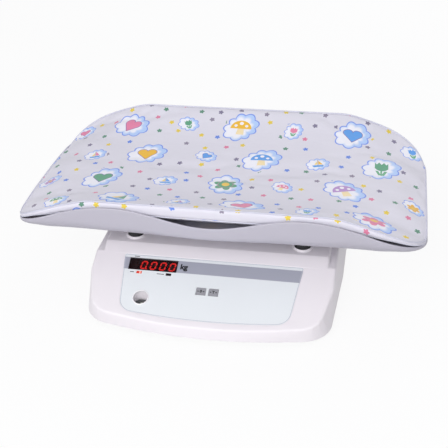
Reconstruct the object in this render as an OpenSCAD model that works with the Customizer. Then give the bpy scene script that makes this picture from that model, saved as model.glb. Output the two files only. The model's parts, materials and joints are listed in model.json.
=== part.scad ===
// Digital baby weighing scale: a console base with a single-point load cell, a platform of
// four rubber-sleeved posts, a lift-off cradle tray and a loose padded cushion.
// Millimetres, +Z up. The floor is z = 0, the console faces -Y and the origin lies on the
// floor under the middle of the whole object.

/* [Base housing] */
// Width of the base at the floor
base_w = 332; // [324:1:340]
// Distance from the origin to the front of the base
base_front = 177; // [176:0.5:179]
// Distance from the origin to the back of the base
base_back = 151; // [145:1:160]
// Gap between the floor and the skirt
skirt_z = 7; // [6:0.5:8]
// Height of the flat deck
deck_z = 68; // [66:0.5:71]
// Width of the raised deck
deck_w = 300; // [294:1:304]
// Drop from the deck to the shoulder beside it
shoulder_drop = 5.5; // [4:0.5:7]
// Width over the two shoulders
shoulder_w = 320; // [316:1:322]
// Wall of the mouldings
wall = 2.5; // [2:0.1:2.8]
// Radius of the rounded top edges
edge_r = 4; // [3.2:0.1:5]

/* [Panel] */
// Slope of the control panel
panel_tilt = 23.2; // [20:0.2:25]
// Length of the panel along its slope
panel_len = 121; // [118:1:122]
// Half width of the overlay at its top edge
overlay_top = 118.3; // [112:0.1:120]
// Distance from the crease to the overlay's top edge
overlay_v0 = 19.5; // [18:0.5:21]
// Distance from the crease to the overlay's lowest point
overlay_v1 = 109.4; // [106:0.1:110]
// Display window: left edge, width and height
window = [-110, 65, 18]; // [10:0.5:120]
// Distance from the crease to the window
window_v = 24.5; // [23:0.5:26]
// Key size along and across the panel
key_size = [12.6, 10.4]; // [9:0.1:13]
// Pitch of the two keys
key_pitch = 16.3; // [16:0.1:18]
// Centre of the level well, across and down the panel
well_at = [-83.8, 83]; // [-90:0.1:90]
// Radius of the level well
well_r = 9.4; // [8.5:0.1:10]

/* [Weighing gear] */
// Half spacing of the posts, across and along
post_half = [113, 77.5]; // [70:0.5:116]
// Radius of a rubber sleeve
sleeve_r = 9.8; // [9:0.1:10.2]
// Load cell block
cell = [130, 30, 22]; // [20:1:134]
// Pitch of the load cell's bolts
cell_pitch = 25; // [20:1:25]
// Distance from the origin back to the middle of the load cell and its four posts
gear_y = 32; // [30:1:34]
// Gap of an overload stop
stop_gap = 1.0; // [0.8:0.1:1.5]

/* [Feet] */
// Radius of a foot pad
foot_r = 15; // [12:0.5:16]
// Radius of the foot's stud
stud_r = 3.95; // [3.95:0.01:3.97]

/* [Cradle tray] */
// Length of the tray
tray_l = 540; // [500:5:560]
// Depth of the tray, front to back
tray_d = 296; // [290:2:300]
// Corner radius of the tray, seen from above
tray_corner = 67; // [60:1:75]
// Distance from the origin back to the middle of the tray
tray_y = 35; // [33:1:37]
// Height of the tray's underside above the floor
tray_z = 104; // [102:1:108]
// Height of the rim in the middle of the long sides
rim_valley = 128.5; // [124:0.5:134]
// Height of the rim's humps
rim_hump = 148; // [142:0.5:152]
// Distance of a hump from the middle
hump_x = 120; // [110:1:130]
// Extra height of the rim along the back
back_rise = 5; // [3:0.5:7]
// Height of the rim at the two ends
rim_end = 95.5; // [93:0.5:97]
// Drop of the floor towards the ends
end_droop = 10; // [8:0.5:12]
// Wall of the tray
tray_wall = 2.8; // [2.4:0.1:3]
// Radius between the floor and the walls of the tray
tray_fillet = 25; // [20:1:28]

/* [Cushion] */
// Height of the cushion's front and back edges
pad_edge = 154; // [152:0.5:156]
// Rise of the cushion's edge over the rim past the humps
pad_over_rim = 8; // [6:0.5:10]
// Thickness at the middle
pad_thick = 18; // [14:0.5:20]
// Thickness at the edge
pad_edge_thick = 15; // [12:0.5:17]
// Gap between the cushion and the tray
pad_gap = 1.5; // [1.3:0.1:1.8]

/* [Hidden] */

$fn = 48;
crease_y = -64;
shoulder_z = deck_z - shoulder_drop;
st = sin(panel_tilt);
ct = cos(panel_tilt);

// Plan circles [x, y, r] of the skirt, counter-clockwise from the back right corner.
// The front edge bows: its circles touch one large circle from inside.
front_corner = [120, -124, 40];
bow_depth = base_front + front_corner.y;
bow_r = bow(front_corner.x, bow_depth, front_corner.z);
bow_pin = 6;
bow_steps = [-84, -42, 0, 42, 84];
back_r = 30;
back_draft = 1.5;
side_x = base_w / 2 - back_r;
skirt = [
    [side_x, base_back - back_r, back_r], [-side_x, base_back - back_r, back_r],
    [-side_x, -20, back_r], [-front_corner.x, front_corner.y, front_corner.z],
    for (x = bow_steps) [x, bow_y(x, bow_r, base_front, bow_pin), bow_pin],
    [front_corner.x, front_corner.y, front_corner.z], [side_x, -20, back_r],
];

// The same along the panel, as [u, v, r]: u runs to the right and v down the slope
panel_corner = [120.5, 79, 31];
panel_bow_r = bow(panel_corner.x, panel_len - panel_corner.y, panel_corner.z);
panel_half = shoulder_w / 2;

// Overlay outline, whose lower edge bows with the panel
overlay_corner = [91, 85, 19.5];
overlay_bow_r = bow(overlay_corner.x, overlay_v1 - overlay_corner.y, overlay_corner.z);
overlay_t = 0.5;
overlay_recess = 0.6;

key_u = -14.06 + key_size.x / 2;
key_v = 61.6 + key_size.y / 2;
key_travel = 0.4;
led_u = [-94, -54.5];
led_v = 46.2;
led_size = [7, 3.6];
board_h = -10.4;
board_t = 1.6;
board_box = [-120, 22, 150, 50];
digit_pitch = 12.7;
digit_h = 17;

frame_z = skirt_z + wall;
frame_t = 3;
cell_z = frame_z + frame_t + 5;
spider_z = cell_z + cell.z + 5;
spider_t = 3;
cell_y = gear_y;
bolt_x = cell.x / 2 - 12;
foot_front = [122, -128];
foot_back = [128, 113];
feet = [[-foot_front.x, foot_front.y], [foot_front.x, foot_front.y],
        [foot_back.x, foot_back.y], [-foot_back.x, foot_back.y]];
posts = [for (sx = [-1, 1], sy = [-1, 1]) [sx * post_half.x, gear_y + sy * post_half.y]];
cover_bosses = [[-140, -98], [140, -98], [-151, 20], [151, 20], [-90, 141.5], [90, 141.5]];
inlet_at = [-70, 30];
switch_at = [-112, 31];

// Radius of the large circle that a corner circle at half width cx touches from inside,
// when the large circle reaches depth m beyond the corner's centre
function bow(cx, m, r) = (m * m + cx * cx - r * r) / (2 * (m - r));
// Centre of a pin circle that touches the front bow from inside at x
function bow_y(x, r, front, pin) = r - front - sqrt(pow(r - pin, 2) - x * x);
function mix(a, b, t) = a + (b - a) * t;
function clamp(x, a, b) = max(a, min(b, x));
function smooth(t) = let (k = clamp(t, 0, 1)) k * k * (3 - 2 * k);

// A point of the panel: u across, v down the slope, h above the surface
function on_panel(u, v, h) = [u, crease_y - v * ct - h * st, deck_z - v * st + h * ct];
module panel() { translate([0, crease_y, deck_z]) rotate([panel_tilt, 0, 0]) children(); }

// Outline round a counter-clockwise ring of circles [x, y, r], moved inwards by inset
module ring_outline(ring, inset = 0) {
    n = len(ring);
    polygon([for (i = [0:n - 1]) let (
        a = ring[i], b = ring[(i + 1) % n],
        d = [b.x - a.x, b.y - a.y], l = norm(d), k = (a.z - b.z) / l,
        nrm = [d.y, -d.x] / l * sqrt(1 - k * k) + d / l * k)
        for (c = [a, b]) [c.x, c.y] + nrm * (c.z - inset)]);
    for (c = ring) translate([c.x, c.y]) circle(c.z - inset);
}

module rounded_plate(size, r, h) {
    linear_extrude(h) ring_outline([for (q = [[1, 1], [-1, 1], [-1, -1], [1, -1]])
        [q.x * (size.x / 2 - r), q.y * (size.y / 2 - r), r]]);
}

module pan_screw(d, l, head_d, head_h) {
    translate([0, 0, -l]) cylinder(d = d, h = l);
    difference() {
        cylinder(d = head_d, h = head_h);
        for (a = [0, 90]) rotate(a) translate([-head_d * 0.3, -0.4, head_h * 0.5])
            cube([head_d * 0.6, 0.8, head_h]);
    }
}

// ---- Base housing ----

// Console form: a loft from the skirt's plan to balls along the panel and the shoulders
module console_form(inset) {
    r = edge_r - inset;
    bottom = skirt_z - (inset > 0 ? 1 : 0);
    hull() {
        for (c = skirt) translate([c.x, c.y, bottom]) cylinder(r = c.z - inset, h = 1, $fn = 40);
        for (s = [-1, 1]) {
            for (v = [14 + edge_r, 46]) translate(on_panel(s * (panel_half - edge_r), v, -edge_r))
                sphere(r, $fn = 20);
            for (a = [0:18:72]) translate(on_panel(
                s * (panel_corner.x + (panel_corner.z - edge_r) * cos(a)),
                panel_corner.y + (panel_corner.z - edge_r) * sin(a), -edge_r)) sphere(r, $fn = 20);
            for (a = [0:22.5:90]) translate([
                s * (panel_half - back_r + (back_r - edge_r) * cos(a)),
                base_back - back_draft - back_r + (back_r - edge_r) * sin(a),
                shoulder_z - edge_r]) sphere(r, $fn = 20);
        }
        for (u = [-90:30:90]) translate(on_panel(
            u, -bow_y(u, panel_bow_r, panel_len, edge_r), -edge_r)) sphere(r, $fn = 20);
    }
}

// Raised deck between the shoulders, whose front follows the panel's slope
module deck_form(inset) {
    ball = 3;
    r = ball - inset;
    half = deck_w / 2 - ball;
    hull() for (s = [-1, 1]) {
        translate([s * half, crease_y + ball * tan(panel_tilt / 2), deck_z - ball])
            sphere(r, $fn = 18);
        translate(on_panel(s * half, 26, -ball)) sphere(r, $fn = 18);
        for (a = [0:30:90], z = [deck_z - ball, shoulder_z - 4]) translate([
            s * (half - 12 + 12 * cos(a)), base_back - 14 - ball - 12 + 12 * sin(a), z])
            sphere(r, $fn = 18);
    }
}

module top_cover() color("#e7e2e8") {
    boss_z = 22;
    difference() {
        union() {
            difference() {
                union() { console_form(0); deck_form(0); }
                union() { console_form(wall); deck_form(wall); }
            }
            for (p = posts) translate([p.x, p.y, deck_z - wall]) collar();
            intersection() {
                union() {
                    translate([on_panel(well_at.x, well_at.y, 0).x, well_y, vial_top - 1])
                        cylinder(r = well_r + 3.2, h = 40);
                    for (b = cover_bosses) translate([b.x, b.y, boss_z])
                        cylinder(r = 4.5, h = 60);
                    for (c = board_corners) panel() translate([c.x, -c.y, board_h + board_t])
                        cylinder(r = 3, h = 20);
                }
                union() { console_form(1); deck_form(1); }
            }
        }
        panel() {
            translate([window.x - 0.2, -window_v - window.z - 0.2, -8])
                cube([window.y + 0.4, window.z + 0.4, 20]);
            translate([0, 0, -overlay_recess]) linear_extrude(9) overlay_outline(-0.4);
            for (i = [0, 1]) translate([key_u + i * key_pitch, -key_v, -8])
                linear_extrude(20) square(key_size + [0.6, 0.6], center = true);
            for (u = led_u) translate([u, -led_v, -8])
                linear_extrude(20) square(led_size + [0.4, 0.4], center = true);
            translate([well_at.x, -well_at.y, -wall]) cylinder(r = well_r + 1.5, h = 20);
            for (c = board_corners) translate([c.x, -c.y, board_h + board_t - 1])
                cylinder(r = 1.1, h = 7);
        }
        translate([well_at.x, well_y, vial_top - 2]) cylinder(r = well_r + 1.2, h = 40);
        for (p = posts) translate([p.x, p.y, deck_z - 10]) cylinder(r = sleeve_r + 1.4, h = 30);
        for (b = cover_bosses) translate([b.x, b.y, boss_z - 1]) cylinder(r = 1.4, h = 17);
        translate([inlet_at.x, base_back - 20, inlet_at.y]) rotate([-90, 0, 0])
            cylinder(r = 5.6, h = 40);
        translate([switch_at.x - 9.7, base_back - 20, switch_at.y - 6.7])
            cube([19.4, 40, 13.4]);
    }
}
well_y = on_panel(well_at.x, well_at.y, 0).y;
well_surface = on_panel(well_at.x, well_at.y, 0).z;
vial_top = well_surface - 10.5;
board_corners = [for (i = [0, 1], j = [0, 1])
    [board_box[0] + 5 + i * (board_box[2] - 10), board_box[1] + 5 + j * (board_box[3] - 10)]];

// Flared collar round a post's hole, standing on the deck
module collar() {
    rotate_extrude() polygon([[sleeve_r + 1, 0], [sleeve_r + 4, 0], [sleeve_r + 3.8, wall],
        [sleeve_r + 2.6, wall + 0.8], [sleeve_r + 2.3, wall + 2.2], [sleeve_r + 1.9, wall + 2.6],
        [sleeve_r + 1, wall + 2.6]]);
}

// Shallow pan that closes the base from below, inside the skirt
module bottom_cover() color("#dcd9dc") {
    inset = wall + 1.5;
    difference() {
        union() {
            translate([0, 0, skirt_z]) linear_extrude(wall) ring_outline(skirt, inset);
            difference() {
                translate([0, 0, skirt_z]) linear_extrude(5) ring_outline(skirt, inset);
                translate([0, 0, skirt_z - 1]) linear_extrude(9) ring_outline(skirt, inset + 2);
            }
            for (b = cover_bosses) translate([b.x, b.y, skirt_z]) cylinder(r = 5, h = 14.8);
            for (x = [-90, 0, 90]) translate([x - 1, -148, frame_z]) cube([2, 44, 5]);
            translate([well_at.x, well_y, skirt_z]) cylinder(r = well_r + 0.8, h = 8);
        }
        for (b = cover_bosses) translate([b.x, b.y, skirt_z - 1]) {
            cylinder(r = 1.8, h = 30);
            cylinder(r = 4, h = 4);
        }
        for (f = feet) translate([f.x, f.y, skirt_z - 1]) cylinder(r = 7, h = 5);
        for (s = [-1, 1]) translate([s * 105, cell_y, skirt_z - 1]) cylinder(r = 2.2, h = 5);
    }
}

// ---- Control panel ----

module overlay_outline(inset) {
    ring = [[overlay_top - 2, -overlay_v0 - 2, 2], [2 - overlay_top, -overlay_v0 - 2, 2],
        [-overlay_corner.x, -overlay_corner.y, overlay_corner.z],
        for (u = [-60:20:60]) [u, bow_y(u, overlay_bow_r, overlay_v1, 4), 4],
        [overlay_corner.x, -overlay_corner.y, overlay_corner.z]];
    ring_outline(ring, inset);
}

module keypad_overlay() color("#e6e7ee") {
    panel() translate([0, 0, -overlay_recess]) difference() {
        linear_extrude(overlay_t) overlay_outline(0);
        translate([window.x - 0.1, -window_v - window.z - 0.1, -1])
            cube([window.y + 0.2, window.z + 0.2, 3]);
        for (i = [0, 1]) translate([key_u + i * key_pitch, -key_v, -1])
            linear_extrude(3) square(key_size + [0.5, 0.5], center = true);
        for (u = led_u) translate([u, -led_v, -1])
            linear_extrude(3) square(led_size + [0.2, 0.2], center = true);
        translate([well_at.x, -well_at.y, -1]) cylinder(r = well_r + 1.45, h = 3);
    }
}

module display_window() color("#3a0c10") {
    panel() translate([window.x, -window_v - window.z, -1.7]) cube([window.y, window.z, 1.6]);
}

// One housing per digit place, each with a raised rib round its face
module digit_modules() color("#1c1416") {
    panel() for (i = [0:4]) translate([window.x + 0.9 + i * digit_pitch, 0, board_h + board_t])
        translate([0, -window_v - window.z / 2 - digit_h / 2, 0]) difference() {
            cube([digit_pitch - 0.3, digit_h, -2 - board_h - board_t]);
            translate([1, 1, -2.5 - board_h - board_t]) cube([digit_pitch - 2.3, digit_h - 2, 1]);
        }
}

module indicator_leds() color("#d8452a") {
    panel() for (u = led_u) translate([u, -led_v, board_h + board_t]) {
        linear_extrude(-0.15 - board_h - board_t) square(led_size, center = true);
        linear_extrude(3) square(led_size + [1.2, 1.2], center = true);
    }
}

module display_board() color("#2f6b45") {
    panel() translate([board_box[0], -board_box[1] - board_box[3], board_h]) difference() {
        cube([board_box[2], board_box[3], board_t]);
        for (c = board_corners) translate([c.x - board_box[0],
            board_box[1] + board_box[3] - c.y, -1]) cylinder(r = 1.5, h = 5);
    }
}

module key_switches() color("#2b2b2e") {
    panel() for (i = [0, 1]) translate([key_u + i * key_pitch, -key_v, board_h + board_t]) {
        linear_extrude(1.6) square([6, 6], center = true);
        cylinder(r = 1.7, h = -6.45 - board_h - board_t);
    }
}

module display_screws() color("#8d8f93") {
    panel() for (c = board_corners) translate([c.x, -c.y, board_h]) mirror([0, 0, 1])
        pan_screw(2, 6, 4.4, 1.5);
}

// One membrane key: a rounded cap that rises through the overlay, on a flange under it
module key_cap(i) {
    panel() translate([key_u + i * key_pitch, -key_v, 0]) {
        translate([0, 0, -6]) rounded_plate(key_size, 1.8, 6.3);
        translate([0, 0, -3.7]) rounded_plate(key_size + [2.6, 2.6], 2.4, 1);
    }
}
module key_zero() color("#a5a6ac") key_cap(0);
module key_tare() color("#a5a6ac") key_cap(1);

// Flanged sleeve that lines the top of the well
module level_bezel() color("#f2f1f4") {
    panel() translate([well_at.x, -well_at.y, 0]) rotate_extrude() polygon([
        [well_r, -2.4], [well_r + 1.4, -2.4], [well_r + 1.4, 0], [well_r + 1.4, 0.3],
        [well_r + 0.9, 0.6], [well_r + 0.3, 0.6], [well_r, 0.3]]);
}

// Round bubble level, upright although the panel slopes
module level_vial() color("#39443f") {
    translate([well_at.x, well_y, skirt_z + 8]) {
        cylinder(r = well_r + 0.9, h = vial_top - skirt_z - 9.6);
        translate([0, 0, vial_top - skirt_z - 9.6]) cylinder(r1 = well_r + 0.9,
            r2 = well_r - 0.4, h = 1.6);
    }
}

// ---- Electronics ----

board_at = [-30, -108];
board_size = [120, 56];
board_z = frame_z + 6;
main_corners = [for (sx = [-1, 1], sy = [-1, 1])
    [board_at.x + 42 + sx * (board_size.x / 2 - 5), board_at.y + sy * (board_size.y / 2 - 5)]];

module main_board() color("#2f6b45") {
    translate([board_at.x + 42 - board_size.x / 2, board_at.y - board_size.y / 2, board_z])
        difference() {
            cube([board_size.x, board_size.y, 1.6]);
            for (c = main_corners) translate([c.x - board_at.x - 42 + board_size.x / 2,
                c.y - board_at.y + board_size.y / 2, -1]) cylinder(r = 1.7, h = 4);
        }
}

// Converter shield, processor, smoothing cans and the lead sockets
module board_parts() color("#54565c") {
    translate([board_at.x + 42, board_at.y, board_z + 1.6]) {
        translate([-44, -14, 0]) cube([26, 22, 3.4]);
        translate([-8, -8, 0]) cube([14, 14, 1.2]);
        for (x = [20, 33]) translate([x, 10, 0]) cylinder(r = 4, h = 8);
        translate([16, -16, 0]) cube([16, 6, 4]);
        translate([-40, 18, 0]) cube([20, 6, 5]);
    }
}

module board_screws() color("#8d8f93") {
    for (c = main_corners) translate([c.x, c.y, board_z + 1.6]) {
        pan_screw(2.9, 1.7, 5.4, 1.8);
        translate([0, 0, frame_z - board_z - 1.6]) cylinder(r = 3.2, h = board_z - frame_z);
    }
}

// Depth at which the flanges of the inlet and the switch meet the drafted back wall
fitting_set = 0.3;
// Round low-voltage socket with its centre pin, set into the back wall
module power_inlet() color("#26262a") {
    translate([inlet_at.x, base_back - fitting_set, inlet_at.y]) rotate([-90, 0, 0]) {
        difference() {
            union() {
                translate([0, 0, -18]) cylinder(r = 5.4, h = 18.5);
                cylinder(r = 7, h = 1.4);
            }
            translate([0, 0, -10]) cylinder(r = 3.1, h = 20);
        }
        translate([0, 0, -11]) cylinder(r = 1.05, h = 10);
    }
}

// Rocker switch body with a rectangular bezel; the rocker pivots between its side walls
rocker_pivot = 4;
module switch_housing() color("#1e1e21") {
    translate([switch_at.x, base_back - fitting_set, switch_at.y]) difference() {
        union() {
            translate([-9.5, -18, -6.5]) cube([19, 18.5, 13]);
            translate([-11.5, 0, -8.5]) cube([23, 1.5, 17]);
        }
        translate([-7.6, -9, -4.8]) cube([15.2, 12, 9.6]);
        translate([0, -rocker_pivot, -6]) cylinder(r = 1.05, h = 12);
    }
}

// Dished rocker, shown pressed at one end
rocker_tilt = 9;
module power_rocker() color("#2a2a2e") {
    translate([switch_at.x, base_back - fitting_set - rocker_pivot, switch_at.y])
        rotate(-rocker_tilt) {
        difference() {
            translate([-6.6, -1.8, -4.6]) cube([13.2, 7, 9.2]);
            translate([0, 44.6, -6]) cylinder(r = 40.8, h = 12, $fn = 96);
        }
        translate([0, 0, -5.8]) cylinder(r = 1, h = 11.6);
    }
}

// Flat lead from the display board down to the main board, in three straight laps
module display_ribbon() color("#b9bac0") {
    u0 = board_at.x + 8;
    low = board_z + 6.7;
    top = on_panel(u0, board_box[1] + 4, board_h - 0.8);
    translate([u0, top.y - 0.9, low]) cube([16, 0.9, top.z - low]);
    translate([u0, board_at.y + 18.2, low]) cube([16, top.y - board_at.y - 18.2, 0.9]);
}

// ---- Weighing gear ----

// Pressed lower frame: two side rails, three cross members and the load cell's seat
module lower_frame() color("#8f949b") {
    difference() {
        translate([0, 0, frame_z]) union() {
            for (s = [-1, 1]) {
                translate([s * 122 - 12, -142, 0]) cube([24, 269, frame_t]);
                translate([s * 122 - (s < 0 ? 12 : -10.5), -80, 0]) cube([1.5, 180, 10]);
            }
            for (y = [-80, 105]) translate([-122, y, 0]) cube([244, 16, frame_t]);
            translate([-122, cell_y - 22, 0]) cube([244, 44, frame_t]);
            for (y = [cell_y - 22, cell_y + 20.5]) translate([-110, y, 0]) cube([220, 1.5, 8]);
            for (f = feet) translate([f.x, f.y, 0]) cylinder(r = 14, h = frame_t);
        }
        for (f = feet) translate([f.x, f.y, 0]) cylinder(r = 4.3, h = 40);
        for (i = [0, 1]) translate([-bolt_x + i * cell_pitch, cell_y, frame_z - 0.1])
            cylinder(r1 = 5.2, r2 = 2.8, h = frame_t + 0.2);
        for (s = [-1, 1]) translate([s * 105, cell_y, 0]) cylinder(r = 2.1, h = 40);
    }
}

// Weld nuts that take the levelling feet
module frame_nuts() color("#c9b27a") {
    for (f = feet) translate([f.x, f.y, frame_z + frame_t]) difference() {
        union() {
            cylinder(r = 7.5, h = 9, $fn = 6);
            cylinder(r = 8.5, h = 1.5);
        }
        translate([0, 0, -1]) cylinder(r = 4, h = 12);
    }
}

// Plate between the load cell and a frame, under one end (-1) or over the other (1)
module cell_spacer(end, z) color("#a9adb2") {
    difference() {
        translate([end * (bolt_x - cell_pitch / 2) - 23, cell_y - cell.y / 2, z])
            cube([46, cell.y, 5]);
        for (i = [0, 1]) translate([end * (bolt_x - i * cell_pitch), cell_y, z - 1])
            cylinder(r = 3.2, h = 8);
    }
}
module lower_spacer() { cell_spacer(-1, frame_z + frame_t); }
module upper_spacer() { cell_spacer(1, cell_z + cell.z); }

// Single-point bending beam: two joined holes make the thin flexures
module load_cell() color("#c3c6ca") {
    difference() {
        translate([-cell.x / 2, cell_y - cell.y / 2, cell_z]) cube(cell);
        for (x = [-14, 14]) translate([x, cell_y - cell.y, cell_z + cell.z / 2])
            rotate([-90, 0, 0]) cylinder(r = 8.4, h = 2 * cell.y);
        translate([-14, cell_y - cell.y, cell_z + cell.z / 2 - 4.5]) cube([28, 2 * cell.y, 9]);
        for (s = [-1, 1], i = [0, 1]) translate([s * (bolt_x - i * cell_pitch), cell_y,
            cell_z - 1]) cylinder(r = 2.6, h = cell.z + 2);
    }
}

module cell_bolts() color("#7e8084") {
    for (i = [0, 1]) translate([-bolt_x + i * cell_pitch, cell_y, frame_z]) {
        cylinder(r1 = 5, r2 = 2.6, h = frame_t);
        cylinder(r = 2.6, h = 20);
    }
}

// Screws under the free end and the corners, which stop the frame under an overload
module overload_stops() color("#7e8084") {
    for (s = [-1, 1]) translate([s * 105, cell_y, frame_z - 1.6]) {
        cylinder(r = 2.05, h = spider_z - stop_gap - frame_z + 1.6);
        translate([0, 0, frame_t + 1.7]) cylinder(r = 4, h = 3, $fn = 6);
    }
}

// Pressed upper frame: a centre plate and four arms with folded edges
module platform_frame() color("#8f949b") {
    arm_w = 26;
    flange_x = 64;
    translate([0, 0, spider_z]) linear_extrude(spider_t) difference() {
        union() {
            translate([0, cell_y]) square([cell.x - 8, 52], center = true);
            translate([0, cell_y]) square([224, 18], center = true);
            for (p = posts) {
                translate([p.x, p.y]) circle(14);
                translate([0, gear_y]) rotate(arm_angle(p)) translate([20, -arm_w / 2])
                    square([norm(post_half) - 20, arm_w]);
            }
        }
        for (i = [0, 1]) translate([bolt_x - i * cell_pitch, cell_y]) circle(3.3);
        for (p = posts) translate([p.x, p.y]) circle(2.6);
    }
    for (p = posts, s = [-1, 1]) translate([0, tray_y, spider_z + spider_t])
        rotate(arm_angle(p)) translate([flange_x, s * (arm_w / 2 - 1) - 0.75, -1])
            cube([norm(post_half) - flange_x - 22, 1.5, 6]);
}
function arm_angle(p) = atan2(p.y - gear_y, p.x);

post_top = tray_z - 3;
module support_posts() color("#dad8db") {
    for (p = posts) translate([p.x, p.y, spider_z + spider_t]) difference() {
        union() {
            cylinder(r = 7, h = post_top - spider_z - spider_t);
            cylinder(r = 11, h = 4);
        }
        translate([0, 0, -1]) cylinder(r = 2, h = 16);
    }
}

// Black sleeves over the posts, with a soft domed end under the tray
module post_sleeves() color("#1d1d1f") {
    z0 = deck_z - 4;
    for (p = posts) translate([p.x, p.y, 0]) rotate_extrude() polygon([
        [7, z0], [sleeve_r, z0], [sleeve_r, tray_z - 2.2], [sleeve_r - 0.6, tray_z - 0.7],
        [sleeve_r - 2, tray_z], [0, tray_z], [0, post_top], [7, post_top]]);
}

module post_screws() color("#7e8084") {
    for (p = posts) translate([p.x, p.y, spider_z]) mirror([0, 0, 1]) {
        translate([0, 0, -12]) cylinder(r = 2, h = 12);
        cylinder(r = 4.4, h = 2.4);
    }
    for (i = [0, 1]) translate([bolt_x - i * cell_pitch, cell_y, cell_z + 5]) {
        cylinder(r = 2.6, h = spider_z + spider_t - cell_z - 5);
        translate([0, 0, spider_z + spider_t - cell_z - 5]) cylinder(r = 5, h = 3);
    }
}

module cover_screws() color("#8d8f93") {
    for (b = cover_bosses) translate([b.x, b.y, skirt_z + 3]) mirror([0, 0, 1]) {
        translate([0, 0, -24]) cylinder(r = 1.4, h = 24);
        difference() {
            cylinder(r = 3.4, h = 2);
            for (a = [0, 90]) rotate(a) translate([-2, -0.4, 1]) cube([4, 0.8, 2]);
        }
    }
}

// ---- Levelling feet ----

pad_h = 4.8;
// Rubber pad with a blind socket in which the stud turns
module foot_pad(i) color("#3a3a3c") {
    translate([feet[i].x, feet[i].y, 0]) rotate_extrude() polygon([
        [0, 0], [foot_r - 1.5, 0], [foot_r, 1.2], [foot_r - 0.6, 3.6], [foot_r - 2.4, pad_h],
        [4, pad_h], [4, 1.5], [0, 1.5]]);
}

// Stud with its thumb wheel: notched all round, between the pad and the bottom cover
module foot_stud(i) color("#b9bcc0") {
    translate([feet[i].x, feet[i].y, 0]) {
        translate([0, 0, 1.55]) cylinder(r = stud_r, h = frame_z + frame_t + 12 - 1.55);
        difference() {
            translate([0, 0, pad_h + 0.1]) cylinder(r = 10.5, h = 1.8);
            for (a = [0:30:330]) rotate(a) translate([11, 0, 0]) cylinder(r = 1.3, h = 10);
        }
    }
}
module foot_pad_1() { foot_pad(0); }
module foot_pad_2() { foot_pad(1); }
module foot_pad_3() { foot_pad(2); }
module foot_pad_4() { foot_pad(3); }
module foot_stud_1() { foot_stud(0); }
module foot_stud_2() { foot_stud(1); }
module foot_stud_3() { foot_stud(2); }
module foot_stud_4() { foot_stud(3); }

// ---- Cradle tray ----

half_l = tray_l / 2;
droop_x = 200;
// Thickness of the tray's edge, and share of the wall's height that its foot takes up:
// along the sides, and at the ends, where the wall runs out into a thin flare
tray_lip = 2.6;
foot_share = 0.52;
flare_share = 1;
half_d = tray_d / 2;
run_x = half_l - tray_corner;
run_y = half_d - tray_corner;
arc_len = PI / 2 * tray_corner;
quarter_len = run_x + arc_len + run_y;

// Stations along a quarter of the plan, from the middle of a long side to an end's middle
long_steps = 9;
arc_steps = 6;
end_steps = 3;
quarter = [
    for (i = [0:long_steps - 1]) run_x * i / long_steps,
    for (i = [0:arc_steps - 1]) run_x + arc_len * i / arc_steps,
    for (i = [0:end_steps]) run_x + arc_len + run_y * i / end_steps,
];
last = len(quarter) - 1;
// All stations as [arc length in the quarter, sign of x, sign of y], counter-clockwise
stations = [
    for (i = [0:last]) [quarter[i], 1, -1],
    for (i = [last - 1:-1:0]) [quarter[i], 1, 1],
    for (i = [1:last]) [quarter[i], -1, 1],
    for (i = [last - 1:-1:1]) [quarter[i], -1, -1],
];

// Plan point of a quarter station, moved inwards by inset
function plan(s, inset) = let (r = max(tray_corner - inset, 1), k = tray_corner - inset - r)
    s < run_x ? [s, half_d - inset]
    : s < run_x + arc_len
        ? let (a = (s - run_x) / tray_corner * 180 / PI)
            [run_x + k + r * sin(a), run_y + k + r * cos(a)]
        : [half_l - inset, run_y - (s - run_x - arc_len)];
// Rim height at quarter station s: a cosine dip between the humps, then a soft fall round the
// corner. The side is -1 at the front and 1 at the back, where the rim stands higher.
function rim(s, side) = let (t = clamp((s - hump_x) / (run_x + arc_len - hump_x), 0, 1),
        lift = side > 0 ? back_rise * (1 - smooth(t)) : 0)
    lift + (s < hump_x
        ? rim_valley + (rim_hump - rim_valley) * (1 - cos(180 * s / hump_x)) / 2
        : rim_end + (rim_hump - rim_end) * pow((1 + cos(180 * t)) / 2, 0.7));
// Underside height at distance x from the middle
function floor_z(x) = tray_z - end_droop * smooth((abs(x) - droop_x) / (half_l - droop_x));

// Share of the wall's height that its rounded foot takes up at quarter station s
function foot_of(s) = mix(foot_share, flare_share, smooth((s - hump_x) / 120));
// Ring of the wall's rounded foot at angle a of its arc. The outside, where lift is 0, aims for
// the underside of the edge, and the inside for its top.
function foot_ring(a, side, lift) = [for (q = stations) let (
    p = plan(q[0], side + (tray_fillet - side) * (1 - sin(a)) + 1.2 * cos(a)),
    z0 = floor_z(p.x) + lift, z1 = rim(q[0], q[2]) - (lift > 0 ? 0 : tray_lip))
    [q[1] * p.x, tray_y + q[2] * p.y, z0 + (1 - cos(a)) * foot_of(q[0]) * (z1 - z0)]];
// Ring of the wall above its foot; rise runs from the end of the foot, 0, to the rim, 1
function wall_ring(inset, rise, lift) = [for (q = stations) let (p = plan(q[0], inset),
    z0 = floor_z(p.x) + lift, z1 = rim(q[0], q[2]) - (lift > 0 ? 0 : tray_lip),
    z2 = z0 + (1 - cos(75)) * foot_of(q[0]) * (z1 - z0))
    [q[1] * p.x, tray_y + q[2] * p.y, mix(z2, rim(q[0], q[2]), rise)]];
// A floor ring, drawn in towards the middle by the factor k
function floor_ring(inset, k, lift) = [for (q = stations) let (p = plan(q[0], inset) * k)
    [q[1] * p.x, tray_y + q[2] * p.y, floor_z(p.x) + lift]];

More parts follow.
